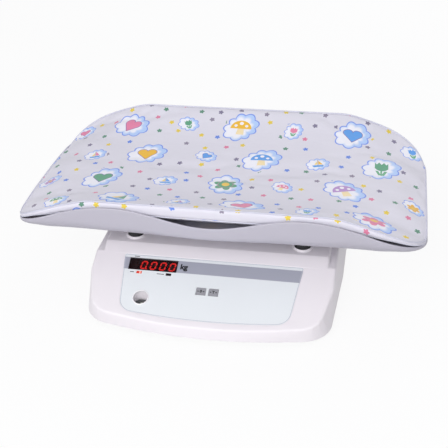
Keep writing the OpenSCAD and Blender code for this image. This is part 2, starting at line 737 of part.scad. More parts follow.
// Closed skin over rings of equal length, with a centre point at each end of the list
function skin_faces(rings, n) = concat(
    [for (i = [0:n - 1]) [0, 1 + i, 1 + (i + 1) % n]],
    [for (j = [0:rings - 2], i = [0:n - 1], f = [0, 1]) let (a = 1 + j * n + i,
        b = 1 + j * n + (i + 1) % n) f == 0 ? [a, b + n, b] : [a, a + n, b + n]],
    [for (i = [0:n - 1]) let (m = 1 + (rings - 1) * n) [rings * n + 1, m + (i + 1) % n, m + i]]);
module skin(first, rings, final) {
    polyhedron(concat([first], [for (r = rings) for (p = r) p], [final]),
        skin_faces(len(rings), len(rings[0])), convexity = 6);
}

module tray() color("#cbcad6") {
    floor_steps = [0.3, 0.5, 0.62, 0.75, 0.9];
    inner = tray_wall;
    rings = concat(
        [for (k = floor_steps) floor_ring(tray_fillet, k, 0)],
        [floor_ring(tray_fillet, 1, 0)],
        [for (a = [25, 50, 75]) foot_ring(a, 0, 0)],
        [wall_ring(0.4, 0.5, 0), wall_ring(0, 0.9, 0), wall_ring(0.7, 1, 0),
         wall_ring(inner - 0.7, 1, 0), wall_ring(inner, 0.9, inner),
         wall_ring(inner + 0.4, 0.5, inner)],
        [for (a = [75, 50, 25]) foot_ring(a, inner, inner)],
        [floor_ring(tray_fillet + 0.3, 1, inner)],
        [for (i = [len(floor_steps) - 1:-1:0]) floor_ring(tray_fillet, floor_steps[i], inner)]);
    skin([0, tray_y, tray_z], rings, [0, tray_y, tray_z + inner]);
}

// Rings under the tray that drop over the sleeves' ends
module tray_sockets() color("#cbcad6") {
    for (p = posts) translate([p.x, p.y, tray_z - 6]) difference() {
        cylinder(r = sleeve_r + 3, h = 6);
        translate([0, 0, -1]) cylinder(r = sleeve_r + 0.5, h = 8);
    }
}

// ---- Cushion ----

pad_inset = tray_wall + 2.6;
pad_end_thick = 8;
pad_end_edge = 6;
// Edge height at quarter station s: straight across the valley, then following the rim
function pad_rim(s, side) = mix(pad_edge + (side > 0 ? back_rise : 0),
    rim(s, side) + pad_over_rim, smooth((s - hump_x) / 60));
// Angle round the corner, and half depth of the cushion's plan, at distance x from the middle
function turn(x, inset) = asin(clamp((abs(x) - run_x) / (tray_corner - inset), 0, 1));
function half_at(x, inset) = run_y + (tray_corner - inset) * cos(turn(x, inset));
function station_at(x, inset) = abs(x) < run_x ? abs(x)
    : run_x + arc_len * turn(x, inset) / 90;
// Clear seat above the tray's floor
function seat_z(x) = floor_z(x) + tray_wall + pad_gap;
// Top and bottom faces: level along the middle, sweeping up to the front and back edges
function pad_top(x, y, side) = let (low = seat_z(x)
        + mix(pad_thick, pad_end_thick, smooth((abs(x) - 120) / (half_l - 120))),
    high = pad_rim(station_at(x, pad_inset), side))
    low + (high - low) * pow(min(1, abs(y) / half_at(x, pad_inset)), 3);
function pad_low(x, y, side) = let (low = seat_z(x),
    s = station_at(x, pad_inset), high = max(low, pad_rim(s, side)
        - mix(pad_edge_thick, pad_end_edge, smooth((s - hump_x) / 130))))
    low + (high - low) * pow(min(1, abs(y) / half_at(x, pad_inset)), 5);
// Ring of the face or of the rolled edge, inset from the outline and drawn in by k; share
// runs from the bottom face, 0, to the top face, 1
function pad_ring(inset, k, share) = [for (q = stations) let (
    p = plan(q[0], pad_inset + inset) * k,
    low = pad_low(p.x, p.y, q[2]), high = pad_top(p.x, p.y, q[2]))
    [q[1] * p.x, tray_y + q[2] * p.y, mix(low, high, share)]];

module cushion() color("#e0e0e9") {
    steps = [0.2, 0.4, 0.6, 0.76, 0.9];
    rings = concat(
        [for (k = steps) pad_ring(5, k, 0)],
        [pad_ring(5, 1, 0.04), pad_ring(1.4, 1, 0.2), pad_ring(0, 1, 0.5),
         pad_ring(1.4, 1, 0.8), pad_ring(5, 1, 0.96)],
        [for (i = [len(steps) - 1:-1:0]) pad_ring(5, steps[i], 1)]);
    skin([0, tray_y, seat_z(0)], rings, [0, tray_y, seat_z(0) + pad_thick]);
}

bottom_cover();
top_cover();
keypad_overlay();
display_window();
digit_modules();
indicator_leds();
display_board();
key_switches();
display_screws();
level_bezel();
level_vial();
main_board();
board_parts();
board_screws();
power_inlet();
switch_housing();
power_rocker();
display_ribbon();
lower_frame();
frame_nuts();
lower_spacer();
upper_spacer();
load_cell();
cell_bolts();
overload_stops();
cover_screws();
key_zero();
key_tare();
platform_frame();
support_posts();
post_sleeves();
post_screws();
foot_pad_1();
foot_pad_2();
foot_pad_3();
foot_pad_4();
foot_stud_1();
foot_stud_2();
foot_stud_3();
foot_stud_4();
tray();
tray_sockets();
cushion();
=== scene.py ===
"""Looks of a digital baby weighing scale: moulded console, printed panel with a lit display,
cradle tray on rubber-tipped posts and a padded cushion with a printed cover.

Lengths are metres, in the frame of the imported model: floor at z = 0, console facing -Y."""

import json
import math
from functools import reduce

import bpy
import numpy as np
from mathutils import Matrix, Vector
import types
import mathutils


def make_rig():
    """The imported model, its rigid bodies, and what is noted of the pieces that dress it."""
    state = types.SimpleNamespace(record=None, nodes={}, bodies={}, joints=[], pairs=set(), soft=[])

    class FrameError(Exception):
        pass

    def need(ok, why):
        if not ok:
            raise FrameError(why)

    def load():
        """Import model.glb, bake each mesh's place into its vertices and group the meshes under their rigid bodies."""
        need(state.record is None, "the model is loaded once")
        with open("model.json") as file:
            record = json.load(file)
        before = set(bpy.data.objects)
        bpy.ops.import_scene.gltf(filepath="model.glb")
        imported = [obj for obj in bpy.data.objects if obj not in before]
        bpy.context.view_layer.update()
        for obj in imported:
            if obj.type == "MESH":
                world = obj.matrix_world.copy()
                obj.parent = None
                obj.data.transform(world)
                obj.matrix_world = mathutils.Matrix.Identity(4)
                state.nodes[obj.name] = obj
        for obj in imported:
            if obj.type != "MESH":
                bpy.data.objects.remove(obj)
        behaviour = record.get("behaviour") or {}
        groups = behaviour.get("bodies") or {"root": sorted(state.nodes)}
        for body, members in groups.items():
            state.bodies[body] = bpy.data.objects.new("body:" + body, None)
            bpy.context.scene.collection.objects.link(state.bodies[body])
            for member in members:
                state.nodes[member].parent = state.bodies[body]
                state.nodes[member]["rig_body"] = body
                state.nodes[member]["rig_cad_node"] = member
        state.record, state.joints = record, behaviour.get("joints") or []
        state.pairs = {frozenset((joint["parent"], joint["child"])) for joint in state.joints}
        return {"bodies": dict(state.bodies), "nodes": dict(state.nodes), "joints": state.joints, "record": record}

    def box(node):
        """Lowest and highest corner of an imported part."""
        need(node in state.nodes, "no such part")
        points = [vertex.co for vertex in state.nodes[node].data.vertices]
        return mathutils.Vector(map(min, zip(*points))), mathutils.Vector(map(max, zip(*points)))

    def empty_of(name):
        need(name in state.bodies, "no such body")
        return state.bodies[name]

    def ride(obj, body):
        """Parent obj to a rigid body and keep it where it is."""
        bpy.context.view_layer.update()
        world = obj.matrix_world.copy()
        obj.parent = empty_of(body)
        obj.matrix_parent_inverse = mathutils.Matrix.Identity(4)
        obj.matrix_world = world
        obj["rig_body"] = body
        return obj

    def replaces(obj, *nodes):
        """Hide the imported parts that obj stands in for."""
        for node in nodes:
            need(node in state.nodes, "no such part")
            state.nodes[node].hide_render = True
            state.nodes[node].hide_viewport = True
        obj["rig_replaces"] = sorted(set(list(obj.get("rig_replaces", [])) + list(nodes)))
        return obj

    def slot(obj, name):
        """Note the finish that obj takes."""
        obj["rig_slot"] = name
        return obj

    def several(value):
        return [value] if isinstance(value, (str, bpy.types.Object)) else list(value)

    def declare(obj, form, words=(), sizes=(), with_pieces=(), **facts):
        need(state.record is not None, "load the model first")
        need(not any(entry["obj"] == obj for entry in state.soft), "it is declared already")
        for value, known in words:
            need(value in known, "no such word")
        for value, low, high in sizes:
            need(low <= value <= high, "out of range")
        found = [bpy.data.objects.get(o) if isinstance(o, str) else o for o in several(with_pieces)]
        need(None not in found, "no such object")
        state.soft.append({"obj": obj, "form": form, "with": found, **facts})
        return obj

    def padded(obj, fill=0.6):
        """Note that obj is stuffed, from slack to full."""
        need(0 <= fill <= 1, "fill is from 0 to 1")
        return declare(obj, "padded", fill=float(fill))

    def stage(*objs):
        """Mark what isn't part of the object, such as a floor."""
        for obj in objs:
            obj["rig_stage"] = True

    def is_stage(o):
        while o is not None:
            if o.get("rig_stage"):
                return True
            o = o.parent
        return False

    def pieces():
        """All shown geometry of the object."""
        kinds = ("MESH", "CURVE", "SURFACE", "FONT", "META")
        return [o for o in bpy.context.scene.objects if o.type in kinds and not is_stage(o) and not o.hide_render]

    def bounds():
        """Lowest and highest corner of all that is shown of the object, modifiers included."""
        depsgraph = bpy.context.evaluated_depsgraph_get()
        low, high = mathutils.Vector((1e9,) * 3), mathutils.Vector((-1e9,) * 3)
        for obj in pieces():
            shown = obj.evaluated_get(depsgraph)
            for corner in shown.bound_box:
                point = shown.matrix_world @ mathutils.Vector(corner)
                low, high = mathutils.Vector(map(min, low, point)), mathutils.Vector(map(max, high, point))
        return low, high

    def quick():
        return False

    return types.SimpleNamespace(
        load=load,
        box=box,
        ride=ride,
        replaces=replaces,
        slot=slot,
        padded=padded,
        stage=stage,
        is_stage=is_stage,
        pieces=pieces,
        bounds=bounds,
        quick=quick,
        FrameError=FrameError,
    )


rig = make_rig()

bl_info = {
    "name": "Baby Weighing Scale",
    "version": (1, 0, 0),
    "blender": (4, 5, 0),
    "location": "View3D > Sidebar > Weighing Scale",
    "description": "Dresses the packed model of a baby weighing scale and sets its studio",
    "category": "Object",
}

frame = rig.load()
MM = 0.001


def tint(red, green, blue):
    """A display colour from 0 to 255 as the linear light that Blender stores."""
    shares = [c / 255 for c in (red, green, blue)]
    return tuple(s / 12.92 if s <= 0.04045 else ((s + 0.055) / 1.055) ** 2.4 for s in shares)


# ---- Surfaces ----


def placed(name, data):
    """A new object in the scene, around a mesh, a curve, a lamp or a camera."""
    made = bpy.data.objects.new(name, data)
    bpy.context.scene.collection.objects.link(made)
    return made


def corners_of(mesh):
    """The places of a mesh's vertices, one a row."""
    places = np.zeros(len(mesh.vertices) * 3)
    mesh.vertices.foreach_get("co", places)
    return places.reshape(-1, 3)


def mesh_object(name, points, faces, maps=None, smooth=True):
    """A mesh object from an array of points, arrays of corner indices and, for each of those,
    an array of the points' places on the map. A closed mesh whose signed volume is negative
    has its faces turned round, so that they point outwards."""
    points = np.asarray(points, float)
    total = 0.0
    for group in faces:
        a = points[group[:, 0]]
        for i in range(1, group.shape[1] - 1):
            total += np.einsum("ij,ij->", a, np.cross(points[group[:, i]], points[group[:, i + 1]]))
    if total < 0:
        faces = [group[:, ::-1] for group in faces]
    mesh = bpy.data.meshes.new(name)
    mesh.from_pydata(points.tolist(), [], [f for group in faces for f in group.tolist()])
    if maps is not None:
        corners = [place[group] for group, place in zip(faces, maps)]
        layer = mesh.uv_layers.new(name="UVMap")
        layer.data.foreach_set("uv", np.concatenate([c.reshape(-1, 2) for c in corners])
                               .astype(np.float32).ravel())
    mesh.polygons.foreach_set("use_smooth", np.full(len(mesh.polygons), smooth))
    mesh.update()
    return placed(name, mesh)


def ring_faces(rows, columns):
    """Quads between neighbouring rows of a grid whose columns close into rings."""
    row, column = np.meshgrid(np.arange(rows - 1), np.arange(columns), indexing="ij")
    following = (column + 1) % columns
    quad = np.stack([row * columns + column, row * columns + following,
                     (row + 1) * columns + following, (row + 1) * columns + column], -1)
    return quad.reshape(-1, 4)


def closed_skin(name, rings, first, last):
    """A closed surface through rings of equal length, with one point closing each end."""
    count, columns = rings.shape[:2]
    points = np.concatenate([rings.reshape(-1, 3), [first], [last]])
    around = np.arange(columns)
    following = (around + 1) % columns
    top = (count - 1) * columns
    fans = [np.stack([np.full(columns, count * columns), following, around], -1),
            np.stack([np.full(columns, count * columns + 1), top + around, top + following], -1)]
    return mesh_object(name, points, [ring_faces(count, columns), *fans])


def tube(name, path, outward, radius, steps=10):
    """A cord on a closed path: a circle carried along it, in the plane of the outward way and
    the way at right angles to that and to the path."""
    along = np.roll(path, -1, 0) - np.roll(path, 1, 0)
    along /= np.linalg.norm(along, axis=-1, keepdims=True)
    side = outward - np.sum(outward * along, -1, keepdims=True) * along
    side /= np.linalg.norm(side, axis=-1, keepdims=True)
    other = np.cross(along, side)
    turn = np.arange(steps) * 2 * np.pi / steps
    rings = path[:, None] + radius * (np.cos(turn)[None, :, None] * side[:, None]
                                      + np.sin(turn)[None, :, None] * other[:, None])
    faces = ring_faces(len(path) + 1, steps) % (len(path) * steps)
    return mesh_object(name, rings.reshape(-1, 3), [faces])


def lathe(name, profile, centre, steps=64):
    """A turned piece: the profile's points (radius, height) carried round a vertical axis.
    A closed profile gives a ring, and one that starts and ends on the axis gives a solid."""
    profile = np.asarray(profile, float)
    turn = np.linspace(0, 2 * np.pi, steps, endpoint=False)
    x, y, z = centre
    rings = np.stack([x + profile[:, :1] * np.cos(turn), y + profile[:, :1] * np.sin(turn),
                      z + np.repeat(profile[:, 1:], steps, 1)], -1)
    if profile[0, 0] == 0:
        return closed_skin(name, rings[1:-1], rings[0, 0], rings[-1, 0])
    rings = np.concatenate([rings, rings[:1]])
    faces = ring_faces(len(rings), steps) % ((len(rings) - 1) * steps)
    return mesh_object(name, rings[:-1].reshape(-1, 3), [faces])


def slab(name, outline, low, high):
    """A flat piece: an outline of points (x, y) between two heights, with its top and bottom
    as fans round the middle. The outline is star-shaped seen from its middle."""
    outline = np.asarray(outline, float)
    rings = np.stack([np.column_stack([outline, np.full(len(outline), z)]) for z in (low, high)])
    middle = outline.mean(0)
    return closed_skin(name, rings, [*middle, low], [*middle, high])


def ease(t):
    """0 below 0, 1 above 1, and the cubic 3t^2 - 2t^3 between."""
    t = np.clip(t, 0, 1)
    return t * t * (3 - 2 * t)


def flat_shade(piece):
    piece.data.polygons.foreach_set("use_smooth", np.zeros(len(piece.data.polygons), bool))
    return piece


def dress(piece, body, finish, slot, *stands_for):
    """Gives a piece its finish, the body that it rides on, and the nodes that it stands for."""
    piece.data.materials.clear()
    piece.data.materials.append(finish)
    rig.ride(piece, body)
    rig.slot(piece, slot)
    if stands_for:
        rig.replaces(piece, *stands_for)
    return piece


def joined(name, pieces):
    """Several mesh objects as one."""
    points, faces, start = [], [], 0
    for piece in pieces:
        mesh = piece.data
        points.append(corners_of(mesh))
        faces += [[start + i for i in face.vertices] for face in mesh.polygons]
        start += len(mesh.vertices)
        smooth = mesh.polygons[0].use_smooth
        bpy.data.objects.remove(piece)
    mesh = bpy.data.meshes.new(name)
    mesh.from_pydata(np.concatenate(points).tolist(), [], faces)
    mesh.polygons.foreach_set("use_smooth", np.full(len(mesh.polygons), smooth))
    return placed(name, mesh)


def merged_copy(node, name, sharp_above):
    """A CAD node's mesh with its corners welded, smooth except at edges sharper than an angle."""
    made = placed(name, frame["nodes"][node].data.copy())
    for key in [k for k in made.data.keys() if k.startswith("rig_")]:
        del made.data[key]
    weld = made.modifiers.new("Weld", "WELD")
    weld.merge_threshold = 1e-6
    shape = bpy.data.meshes.new_from_object(
        made.evaluated_get(bpy.context.evaluated_depsgraph_get()))
    made.modifiers.clear()
    made.data = shape
    shape.normals_split_custom_set([(0, 0, 0)] * len(shape.loops))
    shape.polygons.foreach_set("use_smooth", np.ones(len(shape.polygons), bool))
    shape.set_sharp_from_angle(angle=sharp_above)
    return made


# ---- Shader language ----


class Value:
    """A number or vector on a node's output, so that shader maths reads as Python."""

    def __init__(self, recipe, socket):
        self.recipe = recipe
        self.socket = socket

    def __add__(self, other):
        return self.recipe.math("ADD", self, other)

    def __sub__(self, other):
        return self.recipe.math("SUBTRACT", self, other)

    def __rsub__(self, other):
        return self.recipe.math("SUBTRACT", other, self)

    def __mul__(self, other):
        return self.recipe.math("MULTIPLY", self, other)

    def __truediv__(self, other):
        return self.recipe.math("DIVIDE", self, other)

    def __pow__(self, other):
        return self.recipe.math("POWER", self, other)

    def __abs__(self):
        return self.recipe.math("ABSOLUTE", self)

    def __lt__(self, other):
        return self.recipe.math("LESS_THAN", self, other)

    def __gt__(self, other):
        return self.recipe.math("GREATER_THAN", self, other)

    __radd__ = __add__
    __rmul__ = __mul__


class Recipe:
    """A material under construction: its node tree and the Principled shader at its end."""

    def __init__(self, name):
        self.material = bpy.data.materials.new(name)
        self.material.use_nodes = True
        self.tree = self.material.node_tree
        self.tree.nodes.clear()
        self.output = self.tree.nodes.new("ShaderNodeOutputMaterial")
        self.shader = self.tree.nodes.new("ShaderNodeBsdfPrincipled")
        self.tree.links.new(self.shader.outputs[0], self.output.inputs["Surface"])

    def feed(self, socket, value):
        if isinstance(value, Value):
            self.tree.links.new(value.socket, socket)
        elif isinstance(value, tuple) and socket.type == "RGBA":
            socket.default_value = (*value[:3], 1.0)
        else:
            socket.default_value = value

    def node(self, kind, settings=None, sockets=None, output=0):
        """Any node: its settings first, then its sockets by name or number, and one output."""
        made = self.tree.nodes.new(kind)
        for key, value in (settings or {}).items():
            setattr(made, key, value)
        for key, value in (sockets or {}).items():
            self.feed(made.inputs[key], value)
        return Value(self, made.outputs[output])

    def math(self, operation, *values):
        return self.node("ShaderNodeMath", {"operation": operation}, dict(enumerate(values)))

    def vector_math(self, operation, *values):
        return self.node("ShaderNodeVectorMath", {"operation": operation},
                         dict(enumerate(values)))

    def mix(self, factor, first, second):
        """The first colour where factor is 0 and the second where it is 1."""
        return self.node("ShaderNodeMix", {"data_type": "RGBA"},
                         {0: factor, 6: first, 7: second}, output=2)

    def step(self, value, edge, width):
        """0 where value is below edge and 1 above it, turning smoothly over width."""
        return self.node("ShaderNodeMapRange", {"interpolation_type": "SMOOTHSTEP"},
                         {"Value": value, "From Min": edge - width / 2,
                          "From Max": edge + width / 2})

    def place(self):
        return self.node("ShaderNodeTexCoord", output="Object")

    def split(self, vector):
        made = self.tree.nodes.new("ShaderNodeSeparateXYZ")
        self.feed(made.inputs[0], vector)
        return [Value(self, s) for s in made.outputs]

    def join(self, x, y, z=0.0):
        return self.node("ShaderNodeCombineXYZ", None, {0: x, 1: y, 2: z})

    def noise(self, vector, size, detail=2.0, roughness=0.5):
        """Soft noise from 0 to 1 whose blotches are about size metres across."""
        return self.node("ShaderNodeTexNoise", None,
                         {"Vector": vector, "Scale": 1 / size, "Detail": detail,
                          "Roughness": roughness})

    def stretched(self, vector, factors):
        return self.vector_math("MULTIPLY", vector, factors)

    def relief(self, height, depth, strength=1.0, normal=None):
        sockets = {"Height": height, "Distance": depth, "Strength": strength}
        if normal is not None:
            sockets["Normal"] = normal
        return self.node("ShaderNodeBump", None, sockets)

    def surface(self, **sockets):
        """Sets the shader's sockets: Base_Color=... feeds Base Color."""
        for key, value in sockets.items():
            self.feed(self.shader.inputs[key.replace("_", " ")], value)
        return self.material


# ---- Finishes ----


def moulded(name, colour, roughness=0.42, grain=0.02, coat=0.0, cloudiness=0.035):
    """Injection-moulded plastic: fine spark-eroded grain, faint flow clouds and a few
    rubbed patches where the grain has gone shinier."""
    r = Recipe(name)
    place = r.place()
    cloud = r.noise(place, 0.06, 3.0)
    fine = r.noise(place, 0.0007, 2.0, 0.6)
    rubbed = r.step(r.noise(place, 0.022, 4.0), 0.62, 0.16)
    shade = tuple(c * (1 - cloudiness) for c in colour)
    return r.surface(
        Base_Color=r.mix(cloud, shade, colour),
        Roughness=roughness + (fine - 0.5) * 0.08 - rubbed * 0.07,
        Coat_Weight=coat, Coat_Roughness=0.12,
        Normal=r.relief(fine, grain * MM))


def soft_rubber(name, colour):
    """Matt rubber with a dusty bloom and a fine sandy skin."""
    r = Recipe(name)
    place = r.place()
    bloom = r.noise(place, 0.009, 4.0)
    skin = r.noise(place, 0.0005, 2.0)
    dusty = tuple(c * 1.9 + 0.008 for c in colour)
    return r.surface(Base_Color=r.mix(bloom * 0.7, colour, dusty),
                     Roughness=0.72 + bloom * 0.14,
                     Normal=r.relief(skin, 0.03 * MM))


def plated(name, colour, roughness=0.3):
    """Turned and plated metal: fine rings of the tool and a faint spangle."""
    r = Recipe(name)
    place = r.place()
    rings = r.noise(r.stretched(place, (0.15, 0.15, 1.0)), 0.00025, 2.0)
    spangle = r.node("ShaderNodeTexVoronoi", None, {"Vector": place, "Scale": 900.0})
    dull = tuple(c * 0.82 for c in colour)
    return r.surface(Base_Color=r.mix(spangle, colour, dull), Metallic=1.0,
                     Roughness=roughness + rings * 0.12, Normal=r.relief(rings, 0.006 * MM))


def painted_steel(name, colour):
    """Primed sheet steel: orange peel, with dull patches."""
    r = Recipe(name)
    place = r.place()
    peel = r.noise(place, 0.0016, 2.0)
    patch = r.noise(place, 0.03, 3.0)
    dark = tuple(c * 0.85 for c in colour)
    return r.surface(Base_Color=r.mix(patch, colour, dark), Roughness=0.42 + patch * 0.18,
                     Metallic=0.25, Normal=r.relief(peel, 0.03 * MM))


def circuit_board(name, colour):
    """Green resist over a net of copper tracks, with tinned pads where tracks meet."""
    r = Recipe(name)
    x, y, _ = r.split(r.place())
    pitch = 2.54 * MM
    across = abs(r.math("FRACT", x / pitch) - 0.5)
    along = abs(r.math("FRACT", y / pitch) - 0.5)
    block = r.node("ShaderNodeTexWhiteNoise", {"noise_dimensions": "2D"},
                   {"Vector": r.join(r.math("FLOOR", x / (4 * pitch)),
                                     r.math("FLOOR", y / (3 * pitch)))})
    lengthwise = block > 0.5
    track = lengthwise * (across < 0.09) + (1 - lengthwise) * (along < 0.09)
    pad = (across < 0.16) * (along < 0.16) * (block > 0.35)
    copper = tuple(c * 1.5 + 0.01 for c in colour)
    return r.surface(Base_Color=r.mix(pad, r.mix(track, colour, copper), tint(196, 198, 202)),
                     Metallic=pad * 0.8, Roughness=0.32 + track * 0.06,
                     Normal=r.relief(track, 0.03 * MM))


def tinted_film(name, colour):
    """Dark red display filter: smooth, with a slight waviness, and half see-through."""
    r = Recipe(name)
    wave = r.noise(r.place(), 0.012, 1.0)
    return r.surface(Base_Color=r.mix(wave, colour, tuple(c * 0.8 for c in colour)),
                     Roughness=0.16 + wave * 0.05, Alpha=0.42, Specular_IOR_Level=0.35,
                     Normal=r.relief(wave, 0.05 * MM))


def glowing(name, colour, strength):
    """A lit segment, in grains of the diffuser."""
    r = Recipe(name)
    grain = r.noise(r.place(), 0.0012, 2.0)
    bright = tuple(min(1.0, c * 1.1 + 0.02) for c in colour)
    return r.surface(Base_Color=tuple(c * 0.4 for c in colour), Roughness=0.5,
                     Emission_Color=r.mix(grain, colour, bright), Emission_Strength=strength)


def indicator_resin(name):
    """Two indicator lights in one finish: the left one lit, the right one dark."""
    r = Recipe(name)
    x, _, _ = r.split(r.place())
    left = x < INDICATOR_SPLIT
    hot = r.step(abs(x - INDICATOR_X[0] - 1.2 * MM), 1.0 * MM, 1.2 * MM)
    lit = r.mix(hot, tint(255, 200, 180), tint(184, 24, 16))
    return r.surface(Base_Color=r.mix(left, tint(34, 24, 26), tint(150, 46, 30)),
                     Roughness=0.25,
                     Emission_Color=r.mix(left, (0.0, 0.0, 0.0), lit), Emission_Strength=0.85)


def printed_overlay(name, colour, band_colour):
    """Printed polyester film: pale ground, one mid-grey band across it, and the velvet
    texture that such films have on their face."""
    r = Recipe(name)
    place = r.place()
    _, y, z = r.split(place)
    down = (CREASE_Y - y) * math.cos(PANEL_TILT) + (DECK_Z - z) * math.sin(PANEL_TILT)
    band = r.step(down, BAND[0], 0.1 * MM) * (1 - r.step(down, BAND[1], 0.1 * MM))
    velvet = r.noise(place, 0.0004, 2.0, 0.7)
    sheen = r.noise(place, 0.05, 2.0)
    ground = r.mix(sheen, colour, tuple(c * 0.97 for c in colour))
    return r.surface(Base_Color=r.mix(band, ground, band_colour),
                     Roughness=0.36 + velvet * 0.1 + band * 0.04,
                     Normal=r.relief(velvet, 0.008 * MM))


def level_liquid_in_painted_shade(name, colour):
    """Clear cap over liquid painted dark as the shade of the well that it sits in, glossy, with a paler ring round the
    edge as a painted highlight of the meniscus.
    """
    r = Recipe(name)
    x, y, _ = r.split(r.place())
    out = r.math("SQRT", (x - LEVEL_AT[0]) ** 2.0 + (y - LEVEL_AT[1]) ** 2.0)
    # Paler ring round the edge: a painted highlight of the meniscus
    edge = r.step(out, 7.6 * MM, 2.0 * MM)
    return r.surface(Base_Color=r.mix(edge, colour, tuple(c * 2.4 for c in colour)),
                     Roughness=0.08 + edge * 0.1, Coat_Weight=0.6, Coat_Roughness=0.04)


def anodised(name, colour):
    """Milled and anodised aluminium: straight tool marks along the block."""
    r = Recipe(name)
    marks = r.noise(r.stretched(r.place(), (0.05, 1.0, 1.0)), 0.0004, 3.0)
    return r.surface(Base_Color=r.mix(marks, colour, tuple(c * 0.86 for c in colour)),
                     Metallic=1.0, Roughness=0.32 + marks * 0.16,
                     Normal=r.relief(marks, 0.01 * MM))


def ink(name, colour):
    """Screen-printed ink, slightly uneven."""
    r = Recipe(name)
    patch = r.noise(r.place(), 0.0009, 2.0)
    return r.surface(Base_Color=r.mix(patch, colour, tuple(c * 1.35 + 0.004 for c in colour)),
                     Roughness=0.5 + patch * 0.1)


# ---- The cushion's print ----


def motif_frame(r, across, down, pitch, jitter, swing, seed):
    """Places one motif in each cell of a staggered grid. It gives the point in the motif's own
    turned axes, its distance and angle from the centre, three random numbers of the cell, and
    1 in every second cell of a row."""
    row = r.math("FLOOR", down / pitch[1])
    shift = r.math("MODULO", row + 100.0, 2.0) * 0.5
    column = r.math("FLOOR", across / pitch[0] + shift)
    noise = r.node("ShaderNodeTexWhiteNoise", {"noise_dimensions": "3D"},
                   {"Vector": r.join(column, row, seed)}, output="Color")
    one, two, three = r.split(noise)
    x = across - (column - shift + 0.5) * pitch[0] - (one - 0.5) * (2 * jitter)
    y = down - (row + 0.5) * pitch[1] - (two - 0.5) * (2 * jitter)
    turn = (three - 0.5) * (2 * swing)
    sine, cosine = r.math("SINE", turn), r.math("COSINE", turn)
    u, v = x * cosine + y * sine, y * cosine - x * sine
    far = r.math("SQRT", u * u + v * v)
    kind = r.math("FRACT", one * 7.31 + two * 3.77)
    shade = r.math("FRACT", two * 9.17 + three)
    odd = r.math("MODULO", column + 100.0, 2.0)
    return u, v, far, r.math("ARCTAN2", v, u), (kind, shade, three, odd)


def inside(r, distance):
    """1 where a signed distance is negative, with an edge as soft as printing."""
    return 1 - r.step(distance, 0.0, 0.35 * MM)


def largest(r, *values):
    return reduce(lambda a, b: r.math("MAXIMUM", a, b), values)


def smallest(r, *values):
    return reduce(lambda a, b: r.math("MINIMUM", a, b), values)


def choose(r, index, colours):
    """One colour of a list by a number from 0 to 1."""
    found = colours[0]
    for i, colour in enumerate(colours[1:], 1):
        found = r.mix(index > i / len(colours), found, colour)
    return found


def flower_motif(r, ground, at, petals):
    """Six round petals, whose reach swings with the cosine of three times the angle."""
    _, _, far, angle = at
    reach = (abs(r.math("COSINE", angle * 3.0)) * 0.42 + 0.58) * (11.5 * MM)
    shape = r.mix(inside(r, far - reach), ground, petals)
    vein = inside(r, abs(far - 7.2 * MM) - 0.45 * MM)
    shape = r.mix(vein * 0.6, shape, tint(190, 120, 160))
    return r.mix(inside(r, far - 3.6 * MM), shape, tint(240, 200, 92))


def heart_motif(r, ground, at, fill):
    """Two discs side by side and, below them, the corner between their outer tangents, which
    meet 10 mm below the middle. A thin rim runs round it."""
    u, v, _, _ = at
    x, rise = abs(u), v + 10 * MM
    lobe = r.math("SQRT", (x - 4.6 * MM) ** 2.0 + (v - 3.2 * MM) ** 2.0) - 5.4 * MM
    point = largest(r, x * 0.744 - rise * 0.668, x * 0.668 + rise * 0.744 - 12.9 * MM,
                    v - 3.2 * MM)
    heart = smallest(r, lobe, point)
    shape = r.mix(inside(r, heart), ground, tint(128, 112, 170))
    return r.mix(inside(r, heart + 0.7 * MM), shape, fill)


def boat_motif(r, ground, at, sail):
    """A hull with slanted ends below two sails, which are triangles either side of a mast."""
    u, v, _, _ = at
    hull = largest(r, abs(u) - (v + 3.5 * MM) * 0.55 - 10.5 * MM, v + 3.6 * MM, (-8.6 * MM) - v)
    right = largest(r, 0.9 * MM - u, (-2.2 * MM) - v, (u / 8.5 + (v + 2.2 * MM) / 14.5) * 6
                    - 6 * MM)
    left = largest(r, u + 0.9 * MM, (-2.2 * MM) - v, ((v + 2.2 * MM) / 11.5 - u / 6.5) * 6
                   - 6 * MM)
    mast = largest(r, abs(u) - 0.5 * MM, v - 12.8 * MM, (-3.6 * MM) - v)
    shape = r.mix(inside(r, mast), ground, tint(150, 140, 170))
    shape = r.mix(inside(r, right), shape, sail)
    shape = r.mix(inside(r, left), shape, tint(244, 214, 120))
    return r.mix(inside(r, hull), shape, tint(96, 160, 226))


def mushroom_motif(r, ground, at, cap):
    """A half disc for the cap with pale dots, on a straight stem that widens at its foot."""
    u, v, _, _ = at
    dome = largest(r, r.math("SQRT", u * u + (v + 1.0 * MM) ** 2.0) - 11 * MM,
                   (-1.0 * MM) - v)
    stem = largest(r, abs(u) - 3.0 * MM + v * 0.12, v, (-9.5 * MM) - v)
    side = r.math("SQRT", (abs(u) - 5.6 * MM) ** 2.0 + (v - 3.0 * MM) ** 2.0) - 1.7 * MM
    middle = r.math("SQRT", u * u + (v - 6.2 * MM) ** 2.0) - 2.1 * MM
    shape = r.mix(inside(r, stem), ground, tint(246, 226, 180))
    shape = r.mix(inside(r, dome), shape, cap)
    return r.mix(inside(r, smallest(r, side, middle)), shape, tint(250, 246, 252))


